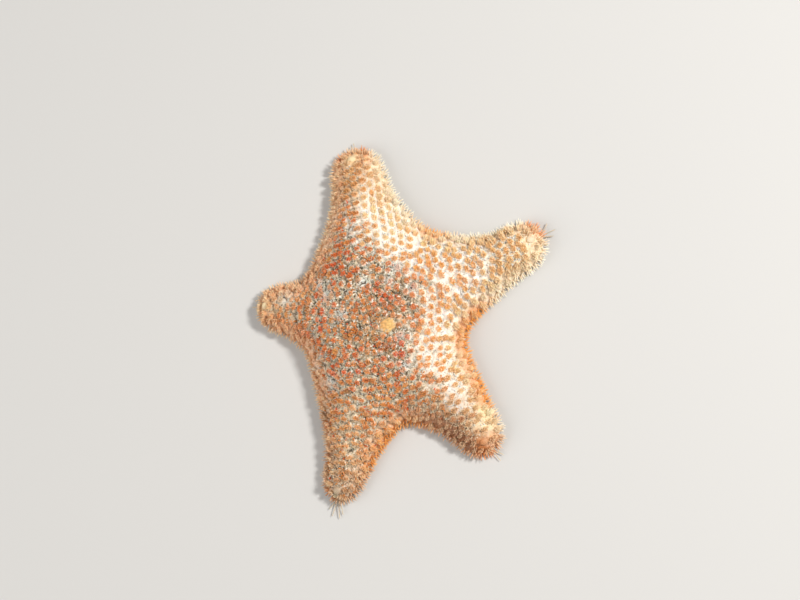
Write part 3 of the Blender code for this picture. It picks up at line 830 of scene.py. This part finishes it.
# The skin: a ball drawn out to the star's shape, remeshed evenly, with a low swelling for each plate
skinLook = dict(columns=400, rings=120, voxel=0.165 * mm, plateSwell=0.10 * mm, plateReach=0.62 * mm,
                creaseWidth=0.22 * mm, creaseDepth=0.10 * mm, pitDepth=0.10 * mm, underShare=0.4,
                oralSwell=0.07 * mm, sieveDip=0.16 * mm, pitWidth=0.26 * mm, seamWidth=0.16 * mm,
                seat=(0.15 * mm, -0.1 * mm), lowest=0.2 * mm, core=(0.52 * mm, 0.36 * mm),
                grooveHigh=(0.6 * mm, 1.1 * mm), grooveInside=(0.9 * mm, 1.8 * mm),
                mouthShade=(0.75 * mm, 0.45 * mm))  # pairs are where an effect begins and where it is full


def buildSkin():
    deselect()
    bpy.ops.mesh.primitive_uv_sphere_add(
        segments=skinLook["columns"], ring_count=skinLook["rings"], radius=1)
    skin = bpy.context.active_object
    skin.name = skin.data.name = "skin"
    mesh = skin.data
    points = vertexArray(mesh)
    rim = marginLoop(skinLook["columns"])
    column = np.round(np.arctan2(points[:, 1], points[:, 0]) / (2 * math.pi) * len(rim)).astype(int)
    places = rim[column % len(rim)] * np.hypot(points[:, 0], points[:, 1])[:, None]
    gap = exactDistance(places)
    level = np.where(points[:, 2] > 1e-4, domeAt(places, gap), underAt(places, gap))
    level[np.abs(points[:, 2]) < 1e-4] = star["marginZ"]
    mesh.vertices.foreach_set("co", np.column_stack((places, level)).ravel())
    mesh.update()
    even = skin.modifiers.new("even", "REMESH")
    even.mode = "VOXEL"
    even.voxel_size = skinLook["voxel"]
    deselect()
    bpy.context.view_layer.objects.active = skin
    skin.select_set(True)
    bpy.ops.object.modifier_apply(modifier=even.name)

    mesh = skin.data
    points = vertexArray(mesh)
    ways = vertexArray(mesh, "normal")
    places = points[:, :2]
    gap = marginDistance(places)
    top = points[:, 2] > (domeAt(places, gap) + underAt(places, gap)) / 2
    rise, tints = np.zeros(len(points)), np.zeros((len(points), 3))
    reach = nearest(plateTree, points[top], 3)
    crease = 1 - smoothStep(0, skinLook["creaseWidth"], (reach[:, 1] - reach[:, 0]) / 2)
    pit = 1 - smoothStep(0, skinLook["pitWidth"], (reach[:, 2] - reach[:, 0]) / 2)
    swell = np.clip(1 - (reach[:, 0] / skinLook["plateReach"]) ** 2, 0, 1)
    fromSieve = np.linalg.norm(places[top] - sievePlate["place"], axis=1)
    seat = smoothStep(*(sievePlate["radius"] + edge for edge in skinLook["seat"]), fromSieve)
    rise[top] = (1 - seat) * (skinLook["plateSwell"] * swell - skinLook["creaseDepth"] * crease
                              - skinLook["pitDepth"] * pit) - skinLook["sieveDip"] * seat
    ridge = ridgeAt(places[top]) * zonesAt(places[top]).white
    rise[top] = mixed(rise[top, None], ridges["high"], ridge)[:, 0]
    dark = np.clip(0.8 * crease + 0.6 * pit, 0, 1) * (1 - seat) * (1 - ridge)
    ragged = reach[:, 0] + 0.05 * mm * waves(places[top], 0.4 * mm, 33)
    tints[top] = backTint(places[top], dark, smoothStep(*skinLook["core"], ragged) * (1 - seat))
    below = ~top
    hit = nearest(oralTree, points[below], 2)
    seam = 1 - smoothStep(0, skinLook["seamWidth"], (hit[:, 1] - hit[:, 0]) / 2)
    rise[below] = -skinLook["oralSwell"] * seam
    groove = smoothStep(*skinLook["grooveHigh"], points[below, 2])
    groove = groove * smoothStep(*skinLook["grooveInside"], gap[below])
    # Painted shade at the middle of the mouth, standing in for the depth of its opening
    mouthShade = smoothStep(*skinLook["mouthShade"], np.linalg.norm(places[below], axis=1))
    tints[below] = layered(colours["under"], [
        ("underCrease", 0.8 * seam), ("tissue", groove), ("mouthShade", mouthShade)])
    points += ways * rise[:, None]
    points[:, 2] = np.maximum(points[:, 2], skinLook["lowest"])
    mesh.vertices.foreach_set("co", (points + shift).ravel())
    paintTint(mesh, tints)
    zones = zonesAt(places)
    specks = mesh.attributes.new("speck", "FLOAT", "POINT")
    share = np.where(top, 0.10 + 0.80 * zones.grey ** 1.5, 0.1)
    specks.data.foreach_set("value", share.astype(np.float32))
    lower = skin.vertex_groups.new(name="lower")
    lower.add(np.flatnonzero(below).tolist(), 1.0, "REPLACE")
    thin = skin.modifiers.new("thin", "DECIMATE")
    thin.vertex_group, thin.ratio = lower.name, 1 - below.mean() * (1 - skinLook["underShare"])
    bpy.ops.object.modifier_apply(modifier=thin.name)
    mesh = skin.data
    mesh.materials.append(skinFinish)
    smoothFaces(mesh)
    mesh.update()
    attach(skin, "root")
    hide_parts("disc", *("arm_" + arm["name"] for arm in star["arms"]))
    print("skin:", sum(len(face.vertices) - 2 for face in mesh.polygons), "triangles")


# The underside's plates, each with two or three spines that the star stands on
oral = dict(gap=1.05 * mm, fromMouth=2.7 * mm, fromRim=0.55 * mm, besideGroove=0.35 * mm,
            perPlate=3, length=0.42 * mm, width=0.075 * mm, spread=0.17 * mm, clear=0.03 * mm)


def grooveGap(places):  # how far outside the nearest groove's edge a place lies
    best = np.full(len(places), 1.0)
    for arm in star["arms"]:
        along = polar(arm["direction"])
        out = places @ along
        aside = np.abs(places @ leftOf(along))
        past = np.clip(out - arm["length"] + star["grooveStop"], 0, None)
        best = np.where(out > 0, np.minimum(best, np.hypot(aside, past) - grooveHalf(arm, out)), best)
    return best


def spreadOral():
    draw = np.random.default_rng(17)
    rows = []
    for row in range(-40, 41):
        for column in range(-40, 41):
            rows.append((column + 0.5 * (row % 2), row * 0.866))
    places = np.array(rows) * oral["gap"] + draw.normal(0, 0.08 * mm, (len(rows), 2))
    places = places[insideMargin(places)]
    keep = ((marginDistance(places) > oral["fromRim"]) & (grooveGap(places) > oral["besideGroove"])
            & (np.linalg.norm(places, axis=1) > oral["fromMouth"]))
    return surfaceAt(places[keep], up=False)


oralPoints, oralWays = spreadOral()
oralTree = treeOf(oralPoints)
buildSkin()

# The tufts: a bunch of short blunt spines on every plate of the back
shortSpike = spikeForm(5, [(-0.2, 1.0), (0.62, 0.86), (1.0, 0.34)])
tuft = dict(least=14, most=20, radius=0.34 * mm, length=0.46 * mm, width=0.072 * mm, splay=0.42,
            comb=0.45, discShrink=0.78, whiteLarger=0.20, turn=2.39996,
            flankMore=0.10, flankSpread=0.08, flankLonger=0.30, flankWider=0.10, flankOut=0.10 * mm,
            large=[(-2.0, -1.4, 1.35, "orange"), (1.8, -3.7, 1.45, "redBrown"),
                   (14.6, -12.9, 1.3, "tipWhite")])  # x, y, size, colour


def growTufts():
    draw = np.random.default_rng(3)
    grown = []
    places = platePoints[:, :2]
    tints = tuftTint(places, 31)
    backs = backTint(places)
    zones = zonesAt(places)
    rims = smoothStep(2.4 * mm, 0.9 * mm, zones.gap)
    browns = patches(places, "brown")
    onArm = smoothStep(5 * mm, 12 * mm, zones.far)
    squeezed = 1 - ridges["squeeze"] * ridgeFade(places) * zones.white
    large = {}
    for x, y, size, tone in tuft["large"]:
        host = int(np.argmin(np.linalg.norm(places - np.array((x, y)) * mm, axis=1)))
        large[host], tints[host] = size, colours[tone]
    for number, (point, way) in enumerate(zip(platePoints, plateWays)):
        rim, far = rims[number], zones.far[number]
        white = zones.white[number]
        size = (tuft["discShrink"] if far < plates["discReach"] else 1.0) * draw.uniform(0.66, 1.18)
        size = size * (1 - white) + (max(size, 0.9) + tuft["whiteLarger"]) * white
        size = large.get(number, max(size, 0.86) if rim > 0.3 else size)
        spines = draw.integers(tuft["least"], tuft["most"] + 1) * size**1.2
        count = int(spines * (1 + tuft["flankMore"] * rim)) + 2
        axis = np.array((*armWay(point[:2]), 0.0))
        across = unitLength(np.cross(way, axis))
        along = np.cross(across, way)
        outward = unitLength(np.array((way[0], way[1], 0.0)))
        comb = (1 + tuft["comb"] * onArm[number] * (1 - 0.4 * white)) * squeezed[number]
        order = np.arange(count) + 0.5
        share = np.sqrt(order / count) * draw.uniform(0.82, 1.15, count)
        reach = share * tuft["radius"] * size * (1 + tuft["flankSpread"] * rim)
        angle = order * tuft["turn"] + draw.uniform(0, 2 * math.pi)
        offset = (across * (np.cos(angle) * reach * comb)[:, None]
                  + along * (np.sin(angle) * reach / comb)[:, None])
        ways = unitLength(way + tuft["splay"] * offset / (tuft["radius"] * size) + 0.25 * rim * outward
                          + draw.normal(0, 0.10, offset.shape))
        tint = tints[number] * np.clip(1 + 0.16 * draw.normal(size=(count, 1)), 0.65, 1.35)
        tint = mixed(tint, colours["cream"], 0.6 * (draw.uniform(0, 1, count) < 0.10))
        fade = (np.clip(share - 0.55, 0, 1) * 0.7 * draw.uniform(0, 1, count))[:, None]
        tint = tint * (1 - fade) + backs[number] * fade
        # On the brown flanks, pinker tips and darker roots: partly own colour, partly painted shade
        pale = 0.05 + 0.25 * rim + 0.42 * browns[number]
        ends = mixed(colours["cream"], colours["pinkCream"], browns[number])
        grown.append(dict(
            root=point + offset + way * rim * tuft["flankOut"], way=ways,
            width=tuft["width"] * draw.uniform(0.8, 1.2, count) * (1 + tuft["flankWider"] * rim),
            length=(tuft["length"] * size * draw.uniform(0.7, 1.2, count) * (1 + tuft["flankLonger"] * rim)
                    * (1 - 0.25 * share**2)),
            rootTint=tint * (0.80 + 0.16 * white - 0.28 * browns[number]),
            tipTint=np.minimum(tint * 1.1, 1) * (1 - pale) + ends * pale,
            uv=rootUv(point[:2]) + offset @ np.stack((across, along), axis=1) * 0.0009 / tuft["radius"],
        ))
    growByRegion("tufts", shortSpike, joinGrown(grown), tuftFinish)


growTufts()

# Crumbs: small stray bunches between the plates of the grey middle
crumb = dict(perPlate=2, near=0.48 * mm, far=0.75 * mm, spines=3, spread=0.09 * mm, length=0.34 * mm,
             width=0.062 * mm, sunk=0.05 * mm)


def growCrumbs():
    draw = np.random.default_rng(77)
    zones = zonesAt(platePoints[:, :2])
    hosts = np.repeat(np.flatnonzero(zones.grey > 0.35), crumb["perPlate"])
    angles = draw.uniform(0, 2 * math.pi, len(hosts))
    reach = draw.uniform(crumb["near"], crumb["far"], len(hosts))
    places = platePoints[hosts, :2] + roundWays(angles) * reach[:, None]
    places = places[np.linalg.norm(places - sievePlate["place"], axis=1) > sievePlate["radius"]]
    points, ways = surfaceAt(places)
    kinds = draw.choice(4, len(points), p=(0.42, 0.12, 0.26, 0.20))
    tones = np.array([colours[name] for name in ("orange", "redOrange", "paleGrey", "blueGrey")])[kinds]
    tones = mixed(tones, colours["blueWhite"], 0.8 * patches(places, "paleBlue"))
    points, ways, tones = (np.repeat(each, crumb["spines"], axis=0) for each in (points, ways, tones))
    aside = draw.normal(0, 1, points.shape) * crumb["spread"]
    growByRegion("crumbs", shortSpike, dict(
        root=points + aside - ways * crumb["sunk"], way=unitLength(ways + draw.normal(0, 0.3, ways.shape)),
        width=crumb["width"] * draw.uniform(0.8, 1.5, len(points)),
        length=crumb["length"] * draw.uniform(0.7, 1.2, len(points)),
        rootTint=tones * 0.7, tipTint=np.minimum(tones * 1.1, 1), uv=rootUv(points[:, :2])), tuftFinish)


growCrumbs()

# Stubble: single short spines between the tufts of the flanks, down to the fringe
stubble = dict(perPlate=9, near=0.46 * mm, far=0.85 * mm, high=1.9 * mm, low=0.08 * mm,
               fromTuft=0.46 * mm, length=0.20 * mm, width=0.07 * mm)


def growStubble():
    draw = np.random.default_rng(55)
    flank = marginDistance(platePoints[:, :2]) < stubble["high"]
    hosts = np.repeat(np.flatnonzero(flank), stubble["perPlate"])
    points, ways = platePoints[hosts], plateWays[hosts]
    beside = unitLength(np.cross(ways, (0, 0, 1.0)))
    uphill = np.cross(beside, ways)
    angles = draw.uniform(0, 2 * math.pi, (len(hosts), 1))
    reach = draw.uniform(stubble["near"], stubble["far"], (len(hosts), 1))
    places = (points + (beside * np.cos(angles) + uphill * np.sin(angles)) * reach)[:, :2]
    places = places[insideMargin(places)]
    places = places[marginDistance(places) > stubble["low"]]
    points, ways = surfaceAt(places)
    keep = nearest(plateTree, points, 3)[:, 0] > stubble["fromTuft"]
    points, ways, places = points[keep], ways[keep], places[keep]
    count = len(points)
    tint = mixed(backTint(places), tuftTint(places, 61), draw.uniform(0, 0.5, count))
    tint *= np.clip(1 + 0.12 * draw.normal(size=(count, 1)), 0.7, 1.3)
    growByRegion("stubble", shortSpike, dict(
        root=points, way=unitLength(ways + draw.normal(0, 0.22, points.shape)),
        width=stubble["width"] * draw.uniform(0.8, 1.2, count),
        length=stubble["length"] * draw.uniform(0.7, 1.25, count),
        rootTint=tint * 0.85, tipTint=np.minimum(tint * 1.12, 1), uv=rootUv(places)), tuftFinish)


growStubble()

# The soft gill bumps between the plates
gill = dict(perPlate=16, near=0.46 * mm, far=0.82 * mm, width=0.105 * mm, high=0.15 * mm, tight=0.36 * mm,
            fromRim=1.3 * mm, fromTuft=0.43 * mm, fromSieve=0.05 * mm, sunk=0.09 * mm)
softBump = bumpForm(6, 4)


def growGills():
    draw = np.random.default_rng(9)
    tries = []
    for point, way in zip(platePoints, plateWays):
        angles = draw.uniform(0, 2 * math.pi, gill["perPlate"])
        reach = draw.uniform(gill["near"], gill["far"], gill["perPlate"])
        tries.append(point[:2] + roundWays(angles) * reach[:, None])
    places = np.concatenate(tries)
    places = places[insideMargin(places)]
    places = places[marginDistance(places) > gill["fromRim"]]
    points, ways = surfaceAt(places)
    reach = nearest(plateTree, points, 3)
    fromSieve = np.linalg.norm(places - sievePlate["place"], axis=1)
    keep = (((reach[:, 2] - reach[:, 0]) / 2 < gill["tight"]) & (reach[:, 0] > gill["fromTuft"])
            & (fromSieve > sievePlate["radius"] + gill["fromSieve"]))
    points, ways, places = points[keep], ways[keep], places[keep]
    zones = zonesAt(places)
    tint = mixed(colours["paleGrey"], colours["blueGrey"], draw.uniform(0, 1, len(places)))
    tint = mixed(tint, colours["white"], zones.white)
    tint = mixed(tint, colours["blueWhite"], (draw.uniform(0, 1, len(places)) < 0.25) * 0.9)
    dull = np.clip(0.8 * zones.dark + 0.4 * draw.normal(size=len(places)), 0, 1) * (1 - zones.white)
    tint = layered(tint, [
        ("netTan", smoothStep(10 * mm, 16 * mm, zones.far) * (1 - zones.white)),
        ("olive", 0.85 * dull),
        ("flankLeft", 0.6 * zones.flank * (1 - zones.white)),
        ("blueWhite", 0.9 * patches(places, "paleBlue"))])
    size = draw.uniform(0.6, 1.35, len(places))
    growByRegion("gills", softBump, dict(
        root=points - ways * gill["sunk"], way=ways, width=gill["width"] * size,
        length=gill["high"] * size * draw.uniform(0.8, 1.5, len(places)),
        rootTint=tint * 0.55, tipTint=tint, uv=rootUv(places)), gillFinish)


growGills()

# The fringe: a fan of spines on each plate of the margin, in two tiers
fringe = dict(gap=1.18 * mm, perFan=6, fan=30, length=1.12 * mm, width=0.098 * mm, spread=0.30 * mm,
              step=0.22 * mm,
              tiers=[dict(z=0.72, rise=(-4, 16), reach=1.0), dict(z=1.35, rise=(16, 42), reach=0.80)])
longSpike = spikeForm(6, [(-0.3, 1.05), (0.35, 0.95), (0.75, 0.62), (1.0, 0.2)])


def growFringe():
    draw = np.random.default_rng(23)
    grown = []
    around = marginStep * len(margin)
    count = round(around / fringe["gap"])
    whites = zonesAt(margin).white
    for tier, sizes in enumerate(fringe["tiers"]):
        for number in range(count):
            index = round((number + 0.5 * tier) * len(margin) / count) % len(margin)
            ahead = margin[(index + 6) % len(margin)] - margin[index - 6]
            ahead = unitLength(np.array((*ahead, 0.0)))
            outward = np.array((ahead[1], -ahead[0], 0.0))
            spines = int(fringe["perFan"] + draw.integers(-1, 2) - 2 * tier)
            share = (np.arange(spines) + 0.5) / spines * 2 - 1
            turn = np.radians(share * fringe["fan"] + draw.normal(0, 4, spines))
            level = np.where(np.arange(spines) % 2 == 0, 0, 1)
            rise = np.radians(sizes["rise"][0] + (sizes["rise"][1] - sizes["rise"][0]) * level
                              + draw.normal(0, 4, spines))
            ways = (outward * (np.cos(turn) * np.cos(rise))[:, None]
                    + ahead * (np.sin(turn) * np.cos(rise))[:, None]
                    + np.array((0, 0, 1.0)) * np.sin(rise)[:, None])
            roots = np.array((*margin[index], sizes["z"] * mm)) + ahead * (share * fringe["spread"])[:, None]
            roots = roots - outward * (0.06 + 0.16 * tier) * mm
            roots[:, 2] += (level - 0.5) * fringe["step"]
            tint = fringeTint(roots[:, :2]) * np.clip(1 + 0.08 * draw.normal(size=(spines, 1)), 0.8, 1.2)
            grown.append(dict(
                root=roots, way=ways, width=fringe["width"] * draw.uniform(0.88, 1.1, spines),
                length=(fringe["length"] * sizes["reach"] * (1 - 0.22 * share**2)
                        * draw.uniform(0.72, 1.08, spines)),
                rootTint=tint * mixed((0.76, 0.55, 0.42), (0.96, 0.88, 0.78), whites[index]),
                tipTint=np.minimum(tint * 1.1 + 0.04, 1),
                uv=rootUv(margin[index]) + np.stack((share, 0.5 * level), axis=1) * 0.0009))
    growByRegion("fringe", longSpike, joinGrown(grown), tuftFinish)


growFringe()

# The sieve plate by the middle, with fine winding grooves
def surfaceFrame(place):
    points, ways = surfaceAt(place)
    way = ways[0]
    side = unitLength(np.cross((0, 1.0, 0), way))
    return points[0], side, np.cross(way, side), way


def buildPlate(name, node, shape, carved, tints):
    deselect()
    bpy.ops.mesh.primitive_uv_sphere_add(segments=shape["segments"], ring_count=shape["rings"], radius=1)
    piece = bpy.context.active_object
    piece.name = piece.data.name = name
    mesh = piece.data
    points = vertexArray(mesh)
    cut = carved(points[:, 0], points[:, 1]) * np.clip(points[:, 2] * 3, 0, 1)
    base, side, across, way = surfaceFrame(shape["place"])
    height = points[:, 2] * shape["high"] - cut * shape["depth"]
    turn = np.arctan2(points[:, 1], points[:, 0])
    uneven = 0.07 * np.sin(2 * turn + 1) + 0.04 * np.sin(5 * turn + 2) + 0.02 * np.sin(9 * turn)
    ragged = shape["radius"] * (1 + uneven)
    placed = (base + ragged[:, None] * (points[:, :1] * side + points[:, 1:2] * across)
              + height[:, None] * way)
    mesh.vertices.foreach_set("co", (placed + shift).ravel())
    smoothFaces(mesh)
    mesh.update()
    paintTint(mesh, tints(cut, points, placed[:, :2]))
    mesh.materials.append(plateFinish)
    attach(piece, "root")
    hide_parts(node)


def sieveCarve(x, y):
    far, angle = np.hypot(x, y), np.arctan2(y, x)
    wind = angle + 0.30 * np.sin(4 * angle + 5 * far) + 0.45 * np.sin(7 * far + 2)
    grooves = np.where(far < 0.30, 7, np.where(far < 0.62, 16, 28))
    return np.clip(np.cos(grooves * wind) * 0.5 + 0.5, 0, 1) ** 1.5 * smoothStep(0.04, 0.12, far)


def sieveTints(cut, points, places):
    tint = mixed(colours["sieve"], colours["sieveShade"], smoothStep(0.3, -0.9, points[:, 0]))
    tint = mixed(tint, colours["sieveGroove"], 0.7 * cut) * (1 + 0.12 * waves(places, 0.5 * mm, 71))[:, None]
    far = np.hypot(points[:, 0], points[:, 1]) + 0.10 * waves(places, 0.5 * mm, 72)
    return mixed(tint, backTint(places), 0.85 * smoothStep(0.68, 1.0, far))


buildPlate("sieve_plate", "madreporite",
           dict(segments=96, rings=36, place=sievePlate["place"], radius=sievePlate["radius"],
                high=sievePlate["high"], depth=0.06 * mm), sieveCarve, sieveTints)


def tipCarve(x, y):
    return 0.5 + 0.5 * np.sin(11 * x + 1) * np.sin(11 * y)


def tipTints(cut, points, places):
    tint = backTint(places)
    return mixed(tint, tint * 0.7, 0.7 * cut * (1 - patches(places, "tipCream")))


for arm in star["arms"]:
    buildPlate("tip_shield_" + arm["name"], "tip_plate_" + arm["name"],
               dict(segments=40, rings=20, place=polar(arm["direction"], arm["length"] - tipPlate["back"]),
                    radius=tipPlate["radius"], high=tipPlate["high"], depth=0.07 * mm), tipCarve, tipTints)

# Spines of the underside: on its plates, and in a row along each side of the grooves
furrow = dict(gap=0.62 * mm, first=2.9 * mm, length=0.55 * mm, width=0.085 * mm,
              aside=0.14 * mm, z=0.5 * mm, stop=0.5 * mm)


def growOral():
    draw = np.random.default_rng(41)
    grown = []
    for point, way in zip(oralPoints, oralWays):
        count = oral["perPlate"] if np.linalg.norm(point[:2]) > 5 * mm else 2
        turn = draw.uniform(0, 2 * math.pi) + np.arange(count) * 2 * math.pi / count
        offset = np.stack((np.cos(turn), np.sin(turn), np.zeros(count)), axis=1) * oral["spread"]
        ways = unitLength(np.array((0, 0, -1.0)) + offset / oral["spread"] * 0.4
                          + draw.normal(0, 0.1, offset.shape))
        roots = point + offset
        length = np.minimum(oral["length"] * draw.uniform(0.85, 1.1, count),
                            (roots[:, 2] - oral["clear"]) / -ways[:, 2])
        tint = np.array(colours["under"]) * draw.uniform(0.9, 1.08, (count, 1))
        grown.append(dict(root=roots, way=ways, width=np.full(count, oral["width"]), length=length,
                          rootTint=tint * 0.75, tipTint=np.minimum(tint * 1.1, 0.95),
                          uv=rootUv(roots[:, :2], up=False)))
    for arm in star["arms"]:
        along = np.array((*polar(arm["direction"]), 0.0))
        left = np.array((-along[1], along[0], 0.0))
        run = arm["length"] - star["grooveStop"] - furrow["stop"]
        for out in np.arange(furrow["first"], run, furrow["gap"]):
            for side in (-1, 1):
                roots = along * out + left * side * (grooveHalf(arm, out) + furrow["aside"])
                roots = roots + along * np.array((-1, 1))[:, None] * furrow["aside"]
                roots[:, 2] = furrow["z"]
                ways = unitLength(-left * side * np.array((0.75, 0.35))[:, None] + (0, 0, -1.0)
                                  + along * np.array((-0.25, 0.25))[:, None])
                length = np.minimum(furrow["length"], (furrow["z"] - oral["clear"]) / -ways[:, 2])
                tint = np.array([colours["cream"]] * 2)
                grown.append(dict(root=roots, way=ways, width=np.full(2, furrow["width"]), length=length,
                                  rootTint=tint * 0.75, tipTint=tint, uv=rootUv(roots[:, :2], up=False)))
    growByRegion("oral_spines", shortSpike, joinGrown(grown), tuftFinish)


growOral()

# Tube feet: two rows of soft stalks with suckers in each groove, and longer ones past each tip
feet = dict(gap=1.0 * mm, first=2.6 * mm, stop=0.4 * mm, width=0.25 * mm, clear=0.05 * mm)
feeler = dict(back=0.5 * mm, z=0.62 * mm, width=0.10 * mm, sag=-0.05)
footForm = spikeForm(10, [(-0.15, 1.0), (0.25, 0.85), (0.55, 0.72), (0.82, 0.70), (0.92, 1.15), (1.0, 1.05)])
feelerForm = spikeForm(8, [(-0.1, 1.2), (0.2, 1.0), (0.4, 0.82), (0.6, 0.7), (0.8, 0.6), (0.9, 0.66),
                           (0.97, 0.5), (1.0, 0.2)])


def growFeet():
    draw = np.random.default_rng(51)
    grown = []
    for arm in star["arms"]:
        along = polar(arm["direction"])
        left = leftOf(along)
        run = arm["length"] - star["grooveStop"] - feet["stop"]
        for step, out in enumerate(np.arange(feet["first"], run, feet["gap"])):
            wide = float(grooveHalf(arm, out))
            for side in (-1, 1):
                place = along * (out + side * feet["gap"] / 4) + left * side * 0.5 * wide
                top = math.sqrt(wide**2 - (0.5 * wide) ** 2)
                lean = draw.normal(0, 0.05, 2)
                way = unitLength(np.array((*lean, -1.0)))
                grown.append(single(
                    rootUv(place, up=False), feet["width"] * (0.75 + 0.25 * (1 - out / run)),
                    (top - feet["clear"]) / -way[2], root=(*place, top), way=way,
                    rootTint=np.array(colours["tissue"]) * 0.85, tipTint=colours["tissue"]))
    growPiece("tube_feet", footForm, joinGrown(grown), feetFinish)
    grown = []
    for arm in star["arms"]:
        for angle, reach in arm["feelers"]:
            place = polar(arm["direction"], arm["length"] - feeler["back"])
            way = unitLength(np.array((*polar(arm["direction"] + angle), feeler["sag"])))
            bend = (*polar(arm["direction"] + angle + 90, draw.normal(0, 0.14)), feeler["sag"])
            grown.append(single(
                rootUv(place, up=False), feeler["width"], reach + feeler["back"], bend=bend, way=way,
                root=(*place, feeler["z"]), rootTint=np.array(colours["feeler"]) * 0.8,
                tipTint=colours["feeler"]))
    growPiece("feelers", feelerForm, joinGrown(grown), feetFinish)


growFeet()

# The mouth: five pairs of jaws, with spines that close over it
jaw = dict(outer=2.25 * mm, inner=0.55 * mm, aside=0.34 * mm, close=0.14 * mm, width=0.40 * mm, z=0.80 * mm,
           spines=6, spineAside=0.18 * mm, spineDrop=0.22 * mm, spineWidth=0.095 * mm)
jawForm = spikeForm(14, [(-0.04, 0.30), (0.03, 0.62), (0.14, 0.90), (0.34, 1.0), (0.60, 0.90), (0.82, 0.66),
                         (0.95, 0.40), (1.0, 0.12)])


def buildJaws():
    draw = np.random.default_rng(61)
    jaws, spines = [], []
    cream = np.array(colours["cream"])
    for hollow in star["hollows"]:
        out = np.array((*polar(hollow["direction"]), 0.0))
        left = np.array((-out[1], out[0], 0.0))
        for side in (-1, 1):
            root = out * jaw["outer"] + left * side * jaw["aside"] + (0, 0, jaw["z"])
            tip = out * jaw["inner"] + left * side * jaw["close"] + (0, 0, jaw["z"])
            jaws.append(single(
                rootUv(root[:2], up=False), jaw["width"], np.linalg.norm(tip - root), root=root,
                way=unitLength(tip - root), rootTint=np.array(colours["under"]) * 0.9, tipTint=cream))
            for step in range(jaw["spines"]):
                share = (step + 0.5) / jaw["spines"]
                place = tip * (1 - share) + root * share + left * side * jaw["spineAside"]
                place[2] = jaw["z"] - jaw["spineDrop"]
                way = unitLength(-out * 0.9 + left * side * 0.5 * share + (0, 0, -0.55)
                                 + draw.normal(0, 0.06, 3))
                spines.append(single(
                    rootUv(place[:2], up=False), jaw["spineWidth"], (0.62 - 0.15 * share) * mm,
                    root=place, way=way, rootTint=cream * 0.7, tipTint=cream))
    piece = growPiece("jaws", jawForm, joinGrown(jaws), plateFinish)
    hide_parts("mouth_frame")
    growPiece("jaw_spines", shortSpike, joinGrown(spines), tuftFinish)


buildJaws()

# The floor, the light and the camera
deselect()
bpy.ops.mesh.primitive_plane_add(size=1.2, location=(0, 0, 0))
floor = bpy.context.active_object
floor.name = "floor"
floorFinish = bpy.data.materials.new("floorPaint")
floorFinish.use_nodes = True
setInlets(floorFinish.node_tree.nodes["Principled BSDF"],
          {"Base Color": (0.64, 0.65, 0.66, 1), "Roughness": 0.85})
floor.data.materials.append(floorFinish)

lamps = dict(
    key=dict(place=(0.31, 0.09, 0.32), size=0.06, power=1.9, colour=(1.0, 0.955, 0.89)),
    fill=dict(place=(-0.30, -0.12, 0.30), size=0.35, power=0.85, colour=(1.0, 0.95, 0.88)),
)
for name, look in lamps.items():
    lamp = bpy.data.lights.new(name, "AREA")
    lamp.size, lamp.energy, lamp.color = look["size"], look["power"], look["colour"]
    stand = bpy.data.objects.new(name, lamp)
    facing = Vector(look["place"]).to_track_quat("Z", "Y").to_matrix().to_4x4()
    stand.matrix_world = Matrix.Translation(look["place"]) @ facing
    bpy.context.scene.collection.objects.link(stand)
world = bpy.data.worlds.new("studio")
world.use_nodes = True
setInlets(world.node_tree.nodes["Background"], {"Color": (1.0, 0.965, 0.92, 1), "Strength": 0.33})
bpy.context.scene.world = world
bpy.context.scene.view_settings.view_transform = "Standard"

view = dict(azimuth=68.6, elevation=74.0, lens=90, offset=(75.14 * mm, -25.49 * mm, 274.80 * mm))
turn, lift = math.radians(view["azimuth"]), math.radians(view["elevation"])
back = Vector((math.sin(turn) * math.cos(lift), -math.cos(turn) * math.cos(lift), math.sin(lift)))
right = Vector((0, 1, 0)).cross(back).normalized()
upward = back.cross(right)
camera = bpy.data.objects.new("camera", bpy.data.cameras.new("camera"))
camera.data.lens, camera.data.sensor_width = view["lens"], 36
camera.data.clip_start, camera.data.clip_end = 0.01, 10
camera.matrix_world = Matrix.Translation(Vector(view["offset"]) + Vector(shift)) @ Matrix(
    (right, upward, back)).transposed().to_4x4()
bpy.context.scene.collection.objects.link(camera)
bpy.context.scene.camera = camera

print("scene ready")
